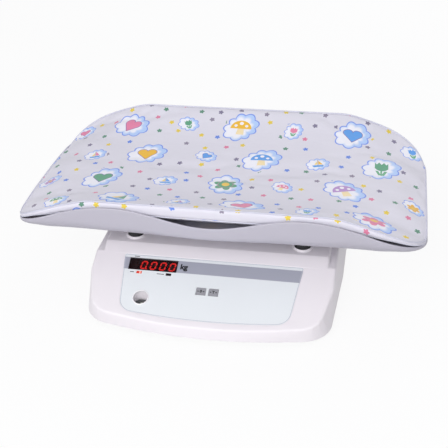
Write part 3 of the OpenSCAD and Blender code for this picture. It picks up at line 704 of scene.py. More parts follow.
def tulip_motif(r, ground, at, cup_colour):
    """A cup whose top edge is a zigzag, on a stem with two leaves that bend outwards."""
    u, v, _, _ = at
    teeth = abs(r.math("FRACT", u / (4.6 * MM) + 0.5) - 0.5) * (7 * MM)
    cup = largest(r, abs(u) - 6.4 * MM, v - 6.5 * MM - teeth,
                  r.math("SQRT", u * u + (v - 3.6 * MM) ** 2.0) - 6.9 * MM - (v > 0) * 1.0)
    stem = largest(r, abs(u) - 0.8 * MM, v + 1.5 * MM, (-11.5 * MM) - v)
    leaf = largest(r, abs(abs(u) - 1.2 * MM - (v + 11 * MM) * 0.42) - 1.4 * MM,
                   v + 3.6 * MM, (-11 * MM) - v)
    shape = r.mix(inside(r, smallest(r, stem, leaf)), ground, tint(104, 172, 132))
    return r.mix(inside(r, cup), shape, cup_colour)


PATCH_PITCH, SPRIG_PITCH = (82 * MM, 74 * MM), (30 * MM, 26 * MM)
SMALL_PATCH = 0.56
FIGURE_SIZE = 1.42
THREAD = 0.55 * MM
PRINT_COLOURS = [tint(230, 132, 168), tint(240, 188, 52), tint(92, 160, 126),
                 tint(92, 160, 234), tint(184, 146, 206)]
SPRIG_COLOURS = [tint(140, 132, 152), tint(92, 142, 120), tint(98, 136, 222),
                 tint(230, 204, 66), tint(222, 124, 158), tint(126, 120, 146)]


def printed_cloth(name, ground_colour):
    """Coated cotton with an all-over nursery print: scalloped patches with a blue edge, each
    behind one flower, heart, boat, mushroom or tulip, and small sprigs between them. The print
    follows the cover's own map, in metres of cloth."""
    r = Recipe(name)
    cloth = r.node("ShaderNodeTexCoord", output="UV")
    across, down, _ = r.split(cloth)
    u, v, far, angle, (kind, shade, swing, odd) = motif_frame(
        r, across, down, PATCH_PITCH, 5 * MM, 0.5, 3.0)
    size = 1 - odd * (1 - SMALL_PATCH)
    u, v, far = u / size, v / size, far / size
    reach = abs(r.math("COSINE", angle * 4.5 + swing * 3.0)) * (4.6 * MM) + 22.5 * MM \
        + r.math("COSINE", angle * 2.0 + swing * 9.0) * (3.4 * MM)
    edge = far - reach
    patch = inside(r, edge)
    haze = r.step(edge + u * 0.25, -6.0 * MM, 8.0 * MM)
    line = inside(r, abs(edge + 0.9 * MM) - 0.95 * MM)
    in_figure = (u / FIGURE_SIZE, v / FIGURE_SIZE, far / FIGURE_SIZE, angle)

    _, _, sprig_far, sprig_angle, (_, sprig_shade, _, _) = motif_frame(
        r, across, down, SPRIG_PITCH, 6.5 * MM, 3.0, 11.0)
    petal = abs(r.math("COSINE", sprig_angle * 2.5)) * 0.45 + 0.55
    sprig = sprig_far - petal * (4.0 * MM)
    clear = r.step(edge * size, 3.6 * MM, 0.6 * MM)
    colour = r.mix(inside(r, sprig) * clear * (sprig_shade > 0.1), ground_colour,
                   choose(r, sprig_shade, SPRIG_COLOURS))

    colour = r.mix(patch, colour, r.mix(haze, tint(243, 243, 252), tint(182, 208, 250)))
    fill = choose(r, shade, PRINT_COLOURS)
    shapes = [flower_motif, heart_motif, boat_motif, mushroom_motif, tulip_motif]
    figure = None
    for i, shape in enumerate(shapes):
        drawn = shape(r, colour, in_figure, fill)
        figure = drawn if figure is None else r.mix(kind > i / len(shapes), figure, drawn)
    colour = r.mix(line, figure, tint(120, 150, 234))

    fade = r.noise(cloth, 0.05, 3.0)
    warp, weft = [r.math("SINE", way * (2 * math.pi / THREAD)) for way in (across, down)]
    weave = warp * weft
    crumple = r.noise(r.stretched(cloth, (0.45, 1.0, 1.0)), 0.016, 3.0, 0.45)
    base = r.mix(fade * 0.05, colour, tint(176, 176, 196))
    normal = r.relief(crumple, 1.4 * MM, 0.6)
    return r.surface(Base_Color=base, Roughness=0.52 + fade * 0.1,
                     Sheen_Weight=0.12, Sheen_Roughness=0.4,
                     Normal=r.relief(weave, 0.02 * MM, 0.7, normal))


# ---- Places shared with the construction ----

PANEL_TILT = math.radians(23.2)
DECK_Z = 68 * MM
CREASE_Y = -64 * MM
PANEL = Matrix.Translation((0, CREASE_Y, DECK_Z)) @ Matrix.Rotation(PANEL_TILT, 4, "X")
BAND = (24.3 * MM, 42.2 * MM)
WINDOW_LEFT, WINDOW_MIDDLE = -110 * MM, 33.5 * MM
DIGIT_PITCH = 12.7 * MM
INDICATOR_X = (-94 * MM, -54.5 * MM)
INDICATOR_SPLIT = sum(INDICATOR_X) / 2
OVERLAY_FACE = -0.1 * MM
KEY_FACE = 0.3 * MM
DIGIT_FACE = -2.5 * MM
KEYS = {"zero_key": -7.76 * MM, "tare_key": 8.54 * MM}
KEY_DOWN = 66.8 * MM
# Dashes by the window and the lights: left end, right end and place down the slope
DASHES = ((-105 * MM, -98 * MM, 22.4 * MM), (-106 * MM, -101 * MM, 46.4 * MM),
          (-70 * MM, -60.5 * MM, 46.4 * MM))
DASH_WIDTH = 1.0 * MM


def middle_of(node):
    low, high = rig.box(node)
    return (low + high) / 2


LEVEL_AT = middle_of("level_vial")
LEVEL_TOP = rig.box("level_vial")[1].z


def lay_on_panel(piece):
    """Carries a piece that was made flat, x to the right and y up the slope, to the panel."""
    piece.data.transform(PANEL)
    return piece


# ---- Settings ----


def colour_setting(name, about, value):
    return bpy.props.FloatVectorProperty(name=name, description=about, subtype="COLOR",
                                         default=value, min=0, max=1)


def length_setting(name, about, value):
    return bpy.props.FloatProperty(name=name, description=about, unit="LENGTH", default=value)


class ConsoleSettings(bpy.types.PropertyGroup):
    housing: colour_setting(
        "Housing", "Colour of the moulded console", tint(238, 233, 238))
    smooth_below: bpy.props.FloatProperty(
        name="Smooth below", description="Edges flatter than this are shaded round",
        subtype="ANGLE", default=math.radians(26))
    sleeve: colour_setting(
        "Sleeves", "Colour of the rubber sleeves", tint(30, 30, 33))


class PanelSettings(bpy.types.PropertyGroup):
    film: colour_setting(
        "Film", "Ground colour of the overlay", tint(231, 235, 239))
    band: colour_setting(
        "Band", "Colour of the printed band", tint(163, 165, 179))
    key: colour_setting(
        "Keys", "Colour of the two keys", tint(152, 152, 159))
    glow: colour_setting(
        "Digits", "Colour of the lit digits", (0.93, 0.018, 0.014))
    reading: bpy.props.StringProperty(
        name="Reading", description="Figures shown, four places with a point", default="0.000")
    digit_height: length_setting(
        "Digit height", "Height of a figure", 12.6 * MM)
    digit_slant: bpy.props.FloatProperty(
        name="Slant", description="Lean of the figures", subtype="ANGLE",
        default=math.radians(9))


class CradleSettings(bpy.types.PropertyGroup):
    # The tray is coloured darker than the housing's white as painted shade of its front wall, which faces down and
    # away from the light
    tray: colour_setting(
        "Tray", "Colour of the cradle tray", tint(186, 183, 195))
    wall: length_setting(
        "Wall", "Thickness of the tray", 2.8 * MM)
    stations: bpy.props.IntProperty(
        name="Stations", description="Points round the tray's rim", default=480, min=96)


class CushionSettings(bpy.types.PropertyGroup):
    ground: colour_setting(
        "Ground", "Ground colour of the printed cover", tint(223, 221, 232))
    crown: length_setting(
        "Crown", "How far the band bulges out", 2.2 * MM)
    fold: length_setting(
        "Folds", "Height of the soft folds at the ends", 2.0 * MM)
    piping: length_setting(
        "Piping", "Radius of the cord in the seams", 0.9 * MM)
    pressure: bpy.props.FloatProperty(
        name="Pressure", description="Push of the foam against the cover", default=1.2)
    slack: bpy.props.FloatProperty(
        name="Slack", description="Share of cloth that the cover has to spare", default=0.01,
        min=0, max=0.2)
    most: length_setting(
        "Most", "Furthest that the cover may move from the foam", 3 * MM)
    fill: bpy.props.FloatProperty(
        name="Fill", description="How full the cushion is", default=0.55, min=0, max=1)


class StageSettings(bpy.types.PropertyGroup):
    lens: bpy.props.FloatProperty(
        name="Lens", description="Focal length in millimetres on a 36 mm sensor", default=67.2)
    azimuth: bpy.props.FloatProperty(
        name="Azimuth", description="Turn of the camera round the object", subtype="ANGLE",
        default=math.radians(12.16))
    elevation: bpy.props.FloatProperty(
        name="Elevation", description="Height of the camera above the horizon",
        subtype="ANGLE", default=math.radians(32.4))
    roll: bpy.props.FloatProperty(
        name="Roll", description="Tilt of the camera about its line of sight",
        subtype="ANGLE", default=math.radians(-2.38))
    camera: bpy.props.FloatVectorProperty(
        name="Camera", description="Place of the camera", subtype="TRANSLATION",
        default=(0.20426, -0.95253, 0.68331))
    key_power: bpy.props.FloatProperty(
        name="Key light", description="Power of the large lamp in watts", default=25.0)
    fill_power: bpy.props.FloatProperty(
        name="Fill light", description="Power of the small lamp in watts", default=4.5)
    back_power: bpy.props.FloatProperty(
        name="Back light", description="Power of the lamp behind in watts", default=8.0)
    sky: bpy.props.FloatProperty(
        name="Sky", description="Strength of the even light from all round", default=0.5)


# ---- Operators ----


def finish_table():
    """The finish of each material slot that a CAD node may show."""
    console, panel = bpy.context.scene.weigher_console, bpy.context.scene.weigher_panel
    return {
        "housing_plastic": moulded("housing_plastic", tuple(console.housing)),
        "underside_plastic": moulded("underside_plastic", tint(222, 219, 223), 0.5, 0.04),
        "overlay_film": printed_overlay("overlay_film", tuple(panel.film), tuple(panel.band)),
        "window_filter": tinted_film("window_filter", tint(34, 14, 15)),
        "digit_housing": moulded("digit_housing", tint(22, 14, 15), 0.6),
        "led_resin": indicator_resin("led_resin"),
        "circuit_board": circuit_board("circuit_board", tint(34, 96, 60)),
        "black_plastic": moulded("black_plastic", tint(36, 36, 39), 0.45, 0.03),
        "rocker_plastic": moulded("rocker_plastic", tint(40, 40, 44), 0.25, 0.01, 0.2),
        "zinc_steel": plated("zinc_steel", tint(196, 198, 202)),
        "bezel_plastic": moulded("bezel_plastic", tint(244, 243, 246), 0.3, 0.01, 0.3),
        # The level's liquid is painted dark as the shade at the bottom of its well
        "vial_resin": level_liquid_in_painted_shade("vial_resin", tint(50, 52, 55)),
        "chip_resin": moulded("chip_resin", tint(56, 57, 62), 0.55),
        "ribbon_pvc": moulded("ribbon_pvc", tint(178, 178, 184), 0.4),
        "frame_steel": painted_steel("frame_steel", tint(150, 154, 160)),
        "nut_brass": plated("nut_brass", tint(206, 178, 112), 0.35),
        "cell_aluminium": anodised("cell_aluminium", tint(204, 206, 210)),
        "key_plastic": moulded("key_plastic", tuple(panel.key), 0.4, 0.015),
        "post_plastic": moulded("post_plastic", tint(220, 218, 222), 0.45),
        "sleeve_rubber": soft_rubber("sleeve_rubber", tuple(console.sleeve)),
        "foot_rubber": soft_rubber("foot_rubber", tint(46, 46, 49)),
        # The tray's darker colour is painted shade of its down-facing front wall
        "tray_plastic": moulded("tray_plastic", tuple(bpy.context.scene.weigher_cradle.tray),
                                0.5, 0.008, 0.0, 0.02),
    }


FINISHES = {}


def finish(name):
    """A finish that the first operator made."""
    return FINISHES[name]


class WEIGHER_OT_finishes(bpy.types.Operator):
    """Give every carried-over part its finish"""
    bl_idname = "weigher.finishes"
    bl_label = "Finishes"

    def execute(self, context):
        FINISHES.update(finish_table())
        for part in frame["record"]["subparts"]:
            material = FINISHES.get(part["material_slot"])
            if material is not None:
                frame["nodes"][part["node"]].material_slots[0].material = material
        return {"FINISHED"}


class WEIGHER_OT_console(bpy.types.Operator):
    """Shade the moulded console round, from the construction's own shape"""
    bl_idname = "weigher.console"
    bl_label = "Console"

    def execute(self, context):
        settings = context.scene.weigher_console
        housing = merged_copy("top_cover", "console_housing", settings.smooth_below)
        weighted = housing.modifiers.new("Weighted normals", "WEIGHTED_NORMAL")
        weighted.keep_sharp = True
        dress(housing, "base", finish("housing_plastic"), "housing_plastic", "top_cover")
        return {"FINISHED"}


# Segments of a figure, top, upper right, lower right, bottom, lower left, upper left, middle
FIGURES = {"0": "111111-", "1": "-11----", "2": "11-11-1", "3": "1111--1", "4": "-11--11",
           "5": "1-11-11", "6": "1-11111", "7": "111----", "8": "1111111", "9": "1111-11"}


def segment_outlines(height, thick, gap):
    """The seven segments of a figure of that height: six-cornered bars between the corners of
    two stacked squares, each shortened by the gap at both ends."""
    half = height * 0.26
    ends = {"top": ((-half, 1), (half, 1)), "upper_right": ((half, 1), (half, 0)),
            "lower_right": ((half, 0), (half, -1)), "bottom": ((-half, -1), (half, -1)),
            "lower_left": ((-half, -1), (-half, 0)), "upper_left": ((-half, 0), (-half, 1)),
            "middle": ((-half, 0), (half, 0))}
    reach = (height - thick) / 2
    outlines = []
    for (x0, y0), (x1, y1) in ends.values():
        a, b = np.array([x0, y0 * reach]), np.array([x1, y1 * reach])
        along = (b - a) / np.linalg.norm(b - a)
        side = np.array([-along[1], along[0]]) * thick / 2
        a, b = a + along * gap, b - along * gap
        nose = along * thick / 2
        outlines.append([a, a + nose + side, b - nose + side, b, b - nose - side,
                         a + nose - side])
    return outlines


class WEIGHER_OT_display(bpy.types.Operator):
    """Light the figures behind the display window, and leave the other segments dark"""
    bl_idname = "weigher.display"
    bl_label = "Display"

    def execute(self, context):
        settings = context.scene.weigher_panel
        lit, dark = [], []
        height, slant = settings.digit_height, math.tan(settings.digit_slant)
        thick = height * 0.15
        figures = settings.reading.replace(".", "")
        point = settings.reading.index(".") - 1
        blanks = 5 - len(figures)
        for place in range(5):
            centre = np.array([WINDOW_LEFT + 0.75 * MM + (place + 0.5) * DIGIT_PITCH,
                               -WINDOW_MIDDLE])
            wanted = FIGURES[figures[place - blanks]] if place >= blanks else "-------"
            for i, outline in enumerate(segment_outlines(height, thick, 0.25 * MM)):
                outline = np.array(outline)
                outline[:, 0] += outline[:, 1] * slant
                piece = slab("segment", outline + centre, DIGIT_FACE, DIGIT_FACE + 0.15 * MM)
                (lit if wanted[i] == "1" else dark).append(flat_shade(piece))
            dot = lathe("dot", [(0, 0), (thick * 0.55, 0), (thick * 0.55, 0.15 * MM),
                                (0, 0.15 * MM)],
                        (centre[0] + height * 0.30, centre[1] - height / 2 + thick * 0.4,
                         DIGIT_FACE), 20)
            (lit if place - blanks == point else dark).append(flat_shade(dot))
        glow = glowing("lit_segments", tuple(settings.glow), 2.0)
        dim = moulded("dark_segments", tint(42, 20, 20), 0.6)
        dress(lay_on_panel(joined("lit_segments", lit)), "base", glow, "digit_housing")
        dress(lay_on_panel(joined("dark_segments", dark)), "base", dim, "digit_housing")
        return {"FINISHED"}


def words(name, text, size, at, lean=0.0, weight=0.0, height=0.03 * MM):
    """Printed words as a thin mesh, centred at (right, down) on the panel."""
    curve = bpy.data.curves.new(name, "FONT")
    curve.body, curve.size = text, size
    curve.align_x, curve.align_y = "CENTER", "CENTER"
    curve.shear, curve.offset, curve.extrude = lean, weight, height / 2
    curve.resolution_u = 6
    shape = placed(name, curve)
    bpy.context.view_layer.update()
    mesh = bpy.data.meshes.new_from_object(
        shape.evaluated_get(bpy.context.evaluated_depsgraph_get()))
    bpy.data.objects.remove(shape)
    bpy.data.curves.remove(curve)
    mesh.transform(Matrix.Translation((at[0], -at[1], at[2] + height / 2)))
    return placed(name, mesh)


def bar(name, start, end, width, low, high):
    """A straight printed line from start to end, points (right, down) on the panel."""
    a, b = np.array(start) * (1, -1), np.array(end) * (1, -1)
    along = (b - a) / np.linalg.norm(b - a)
    side = np.array([-along[1], along[0]]) * width / 2
    return flat_shade(slab(name, [a + side, a - side, b - side, b + side], low, high))


def support_outline(circles, steps=720):
    """The outline round a set of circles (x, y, radius): in each direction, the point of the
    circle that reaches furthest that way."""
    circles = np.asarray(circles, float)
    turn = np.linspace(0, 2 * np.pi, steps, endpoint=False)
    way = np.stack([np.cos(turn), np.sin(turn)], -1)
    best = (way @ circles[:, :2].T + circles[:, 2]).argmax(1)
    return circles[best, :2] + circles[best, 2:] * way


def bow_radius(half, depth, corner):
    """Radius of the large circle that a corner circle touches from inside."""
    return (depth ** 2 + half ** 2 - corner ** 2) / (2 * (depth - corner))


def overlay_circles(inset):
    """The overlay's outline as circles: two small ones above, two large ones at the lower
    corners, and a row along the bow between them. Moved inwards by inset."""
    top_half, top, low = 118.3 * MM, 19.5 * MM, 109.4 * MM
    corner_x, corner_y, corner_r, pin = 91 * MM, 85 * MM, 19.5 * MM, 4 * MM
    small = 2 * MM
    bow = bow_radius(corner_x, low - corner_y, corner_r)
    circles = [(s * (top_half - small), -top - small, small) for s in (-1, 1)]
    circles += [(s * corner_x, -corner_y, corner_r) for s in (-1, 1)]
    circles += [(x, bow - low - math.sqrt((bow - pin) ** 2 - x * x), pin)
                for x in np.linspace(-60 * MM, 60 * MM, 7)]
    return [(x, y, r - inset) for x, y, r in circles]


class WEIGHER_OT_panel_print(bpy.types.Operator):
    """Print the panel: a grey line just inside the overlay's edge, which is painted shade of the gap round
    the overlay's recess, the unit, short dashes by the window and the lights, and the usual signs on the keys"""
    bl_idname = "weigher.panel_print"
    bl_label = "Panel print"

    def execute(self, context):
        black = ink("black_ink", tint(24, 24, 28))
        # The grey line round the overlay is painted shade of the gap round the overlay's recess
        grey = ink("border_ink", tint(176, 178, 190))
        face, thin = OVERLAY_FACE, 0.03 * MM
        outer = support_outline(overlay_circles(0.5 * MM))
        inner = support_outline(overlay_circles(1.15 * MM))
        rings = np.stack([np.column_stack([line, np.full(len(line), face + z)])
                          for line, z in ((outer, 0), (outer, thin), (inner, thin), (inner, 0),
                                          (outer, 0))])
        faces = ring_faces(5, len(outer)) % (4 * len(outer))
        gap_shade_line = mesh_object("overlay_border", rings[:4].reshape(-1, 3), [faces], smooth=False)
        dress(lay_on_panel(gap_shade_line), "base", grey, "overlay_film")
        unit = words("unit_sign", "kg", 10.6 * MM, (-36.2 * MM, 33.2 * MM, face), 0, 0.5 * MM)
        dress(lay_on_panel(unit), "base", black, "overlay_film")
        marks = [bar("mark", (left, down), (right, down), DASH_WIDTH, face, face + thin)
                 for left, right, down in DASHES]
        dress(lay_on_panel(joined("light_pointers", marks)), "base", black, "overlay_film")
        for (body, across), sign in zip(KEYS.items(), ("0", "T")):
            sign = words("sign", sign, 5.2 * MM, (across, KEY_DOWN, KEY_FACE), 0, 0.25 * MM)
            arrows = []
            for side in (-1, 1):
                tip, tail = across + side * 2.2 * MM, across + side * 4.9 * MM
                arrows.append(bar("arrow", (tip + side * 0.8 * MM, KEY_DOWN), (tail, KEY_DOWN),
                                  0.8 * MM, KEY_FACE, KEY_FACE + thin))
                head = np.array([(tip, 0), (tip + side * 1.6 * MM, 1.2 * MM),
                                 (tip + side * 1.6 * MM, -1.2 * MM)])
                arrows.append(flat_shade(slab("arrow", head - (0, KEY_DOWN), KEY_FACE,
                                              KEY_FACE + thin)))
            flat_shade(sign)
            dress(lay_on_panel(joined(body + "_sign", [sign, *arrows])), body, black,
                  "key_plastic")
        return {"FINISHED"}


class WEIGHER_OT_level(bpy.types.Operator):
    """Set a target ring and a bubble under the bubble level's cap"""
    bl_idname = "weigher.level"
    bl_label = "Bubble level"

    def execute(self, context):
        x, y = LEVEL_AT.x, LEVEL_AT.y
        inner, outer, thin = 3.1 * MM, 3.6 * MM, 0.08 * MM
        target = lathe("level_target", [(inner, 0), (outer, 0), (outer, thin), (inner, thin)],
                       (x, y, LEVEL_TOP), 48)
        dress(target, "base", ink("target_ink", tint(26, 26, 28)), "bezel_plastic")
        half, rise = 2.3 * MM, 0.55 * MM
        turn = np.linspace(0, np.pi / 2, 9)
        dome = [(0, 0)] + [(half * math.cos(a), rise * math.sin(a)) for a in turn]
        dome[-1] = (0, rise)
        bubble = lathe("level_bubble", dome, (x + 0.5 * MM, y + 0.3 * MM, LEVEL_TOP), 40)
        r = Recipe("level_bubble")
        glint = r.noise(r.place(), 0.002, 1.0)
        air = r.surface(Base_Color=r.mix(glint, tint(206, 220, 196), tint(232, 238, 226)),
                        Roughness=0.12, Coat_Weight=0.8, Coat_Roughness=0.03)
        dress(bubble, "base", air, "vial_resin")
        return {"FINISHED"}


# ---- Cradle tray ----

TRAY_LOW, TRAY_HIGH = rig.box("tray")
TRAY_Y = (TRAY_LOW.y + TRAY_HIGH.y) / 2
HALF_L, HALF_D = TRAY_HIGH.x, (TRAY_HIGH.y - TRAY_LOW.y) / 2
CORNER = 67 * MM
RUN_X, RUN_Y = HALF_L - CORNER, HALF_D - CORNER
ARC = math.pi / 2 * CORNER
QUARTER = RUN_X + ARC + RUN_Y
TRAY_Z = 104 * MM
RIM_VALLEY, RIM_HUMP, RIM_END, HUMP_X = 128.5 * MM, 148 * MM, 95.5 * MM, 120 * MM
BACK_RISE = 5 * MM
DROOP, DROOP_X = 10 * MM, 222 * MM
FILLET, LIP = 25 * MM, 2.6 * MM
FOOT_SHARE, FLARE_SHARE, FLARE_RUN = 0.52, 1.0, 120 * MM
FOOT_TUCK = 1.2 * MM
BEAD_SHARE = 0.45


def stations(count):
    """Points round the plan, counter-clockwise from the middle of the front: each as the
    distance along its quarter, and the signs of x and y."""
    turn = np.arange(count) * 4 / count
    quarter, share = turn.astype(int), turn % 1
    along = np.where(quarter % 2 == 0, share, 1 - share) * QUARTER
    return along, np.where(quarter < 2, 1, -1), np.where((quarter == 0) | (quarter == 3), -1, 1)


def plan(along, inset):
    """A quarter of a rounded rectangle, moved inwards: straight, a quarter circle, straight."""
    angle = np.clip((along - RUN_X) / CORNER, 0, np.pi / 2)
    x = np.minimum(along, RUN_X) + (CORNER - inset) * np.sin(angle)
    y = RUN_Y + (CORNER - inset) * np.cos(angle) - np.maximum(along - RUN_X - ARC, 0)
    return x, y


def rim(along, side):
    """A cosine dip between the humps, then a soft fall round the corner to the end. The side
    is -1 at the front and 1 at the back, where the rim stands higher between the corners."""
    dip = RIM_VALLEY + (RIM_HUMP - RIM_VALLEY) * (1 - np.cos(np.pi * along / HUMP_X)) / 2
    fall = np.clip((along - HUMP_X) / (RUN_X + ARC - HUMP_X), 0, 1)
    end = RIM_END + (RIM_HUMP - RIM_END) * np.maximum((1 + np.cos(np.pi * fall)) / 2, 0) ** 0.7
    return np.where(along < HUMP_X, dip, end) + (side > 0) * BACK_RISE * (1 - ease(fall))


def floor_z(x):
    """Level underside that droops smoothly towards the ends."""
    return TRAY_Z - DROOP * ease((np.abs(x) - DROOP_X) / (HALF_L - DROOP_X))


def shell_floor(count, inset, lift, shrink):
    """One ring of the tray's floor, drawn in towards the middle."""
    along, sign_x, sign_y = stations(count)
    x, y = plan(along, inset)
    x, y = x * shrink, y * shrink
    return np.stack([sign_x * x, TRAY_Y + sign_y * y, floor_z(x) + lift], -1)


def shell_foot(count, angle, side, lift):
    """One ring of the wall's rounded foot, at an angle of its arc. It takes up half of the
    wall's height along the sides and all of it at the ends, where the wall flares out."""
    along, sign_x, sign_y = stations(count)
    x, y = plan(along, side + (FILLET - side) * (1 - math.sin(angle))
                + FOOT_TUCK * math.cos(angle))
    low = floor_z(x) + lift
    high = rim(along, sign_y) - (LIP if lift == 0 else 0)
    share = FOOT_SHARE + (FLARE_SHARE - FOOT_SHARE) * ease((along - HUMP_X) / FLARE_RUN)
    return np.stack([sign_x * x, TRAY_Y + sign_y * y,
                     low + (1 - math.cos(angle)) * share * (high - low)], -1)


def shell_wall(foot, count, inset, rise, bead, bead_share):
    """One ring above the foot: up the wall by the share rise, then round the rim's bead."""
    along, sign_x, sign_y = stations(count)
    x, y = plan(along, inset)
    top = rim(along, sign_y)
    start = foot[:, 2]
    drop = np.minimum(bead, BEAD_SHARE * (top - start))
    z = start + rise * (top - drop - start) + bead_share * drop
    return np.stack([sign_x * x, TRAY_Y + sign_y * y, z], -1)


class WEIGHER_OT_cradle(bpy.types.Operator):
    """Build the cradle tray: one wall carried round the plan, over a rounded rim"""
    bl_idname = "weigher.cradle"
    bl_label = "Cradle tray"

    def execute(self, context):
        settings = context.scene.weigher_cradle
        count, wall = settings.stations, settings.wall
        bead = wall / 2
        shrinks = np.linspace(0.06, 1, 16)
        angles = np.radians(np.linspace(8, 75, 11))

        def side(inset, lift, way):
            """Floor, foot, wall and half of the bead of one face, from the middle outwards."""
            rings = [shell_floor(count, FILLET + inset * 0.1, lift, k) for k in shrinks]
            rings += [shell_foot(count, a, inset, lift) for a in angles]
            foot = rings[-1]
            gap = FILLET * (1 - math.sin(angles[-1]))
            rings += [shell_wall(foot, count, inset + gap * (1 - t) ** 2, t, bead, 0)
                      for t in (0.2, 0.4, 0.6, 0.8, 1)]
            rings += [shell_wall(foot, count, inset + way * bead * (1 - math.cos(a)), 1, bead,
                                 math.sin(a)) for a in np.radians([18, 36, 54, 72, 90])]
            return rings

        rings = side(0, 0, 1) + side(wall, wall, -1)[-2::-1]
        shell = closed_skin("cradle_shell", np.array(rings), (0, TRAY_Y, TRAY_Z),
                            (0, TRAY_Y, TRAY_Z + wall))
        dress(shell, "cradle", finish("tray_plastic"), "tray_plastic", "tray")
        return {"FINISHED"}


# ---- Cushion ----

PAD_INSET = 5.4 * MM
PAD_EDGE, PAD_OVER_RIM = 154 * MM, 8 * MM
PAD_THICK, PAD_END_THICK = 18 * MM, 8 * MM
PAD_EDGE_THICK, PAD_END_EDGE = 15 * MM, 4.5 * MM
PAD_SEAT = 4.3 * MM
PAD_THIN_FROM, PAD_EDGE_RUN, PAD_RIM_RUN = 120 * MM, 130 * MM, 60 * MM
PAD_OUT, PAD_OUT_FROM, PAD_OUT_TO = 4.2 * MM, 205 * MM, 265 * MM


def pad_rim(along, side):
    """Height of the cushion's edge: straight across the valley, then following the rim."""
    share = ease((along - HUMP_X) / PAD_RIM_RUN)
    return ((PAD_EDGE + (side > 0) * BACK_RISE) * (1 - share)
            + (rim(along, side) + PAD_OVER_RIM) * share)


def pad_faces(x, y, side):
    """Heights of the cushion's bottom and top faces at a point of the quarter plan. Both sweep
    from the seat up to the edge, the top with the cube of the share of the half depth and the
    bottom with its fifth power."""
    corner = CORNER - PAD_INSET
    angle = np.arcsin(np.clip((x - RUN_X) / corner, 0, 1))
    share = np.minimum(1, y / (RUN_Y + corner * np.cos(angle)))
    along = np.where(x < RUN_X, x, RUN_X + ARC * angle / (np.pi / 2))
    seat = floor_z(x) + PAD_SEAT
    thick = PAD_THICK + (PAD_END_THICK - PAD_THICK) * ease(
        (x - PAD_THIN_FROM) / (HALF_L - PAD_THIN_FROM))
    edge = pad_rim(along, side)
    edge_thick = PAD_EDGE_THICK + (PAD_END_EDGE - PAD_EDGE_THICK) * ease(
        (along - HUMP_X) / PAD_EDGE_RUN)
    low_edge = np.maximum(seat, edge - edge_thick)
    top = seat + thick + (edge - seat - thick) * share ** 3
    return seat + (low_edge - seat) * share ** 5, top


def soft_folds(x, y):
    """Slack of the cover, from -1.2 to 1.2: folds that fan out along the two ends and fade
    towards the middle, and a low, broad unevenness of the foam, as sums of sines."""
    ends = ease((np.abs(x) - 130 * MM) / (110 * MM))
    fan = y * (1 - 0.35 * ends) + 7 * MM * np.sin(x / (33 * MM))
    folds = np.sin(fan / (6.1 * MM) + 1.1) * 0.5 + np.sin(fan / (10.3 * MM) + x / (60 * MM)) * 0.5
    broad = np.sin(x / (37 * MM) + 1.3) * np.sin(y / (29 * MM) + 0.4)
    return ends * folds + 0.2 * broad


COTTON = {"quality": 6, "mass": 0.2, "tension_stiffness": 25, "compression_stiffness": 25,
          "shear_stiffness": 8, "bending_stiffness": 0.8}


def swell(piece, held, pressure, slack, most, frames=20):
    """Runs the cloth solver on a piece: the held points stay, the others have cloth to spare
    and air under them. No point moves further than most."""
    rest = corners_of(piece.data)
    group = piece.vertex_groups.new(name="held")
    group.add(held.tolist(), 1.0, "REPLACE")
    cloth = piece.modifiers.new("Cloth", "CLOTH")
    rules = cloth.settings
    for rule, value in COTTON.items():
        setattr(rules, rule, value)
    rules.use_pressure, rules.uniform_pressure_force = True, pressure
    rules.shrink_min = -slack
    rules.vertex_group_mass = group.name
    rules.effector_weights.gravity = 0
    cloth.point_cache.frame_start, cloth.point_cache.frame_end = 1, frames
    scene = bpy.context.scene
    for number in range(1, frames + 1):
        scene.frame_set(number)
    ready = piece.evaluated_get(bpy.context.evaluated_depsgraph_get())
    move = corners_of(ready.data) - rest
    far = np.linalg.norm(move, axis=-1, keepdims=True)
    move *= np.minimum(1, most / np.maximum(far, 1e-9))
    piece.modifiers.remove(cloth)
    piece.vertex_groups.clear()
    piece.data.vertices.foreach_set("co", (rest + move).ravel())
    piece.data.update()
    scene.frame_set(1)


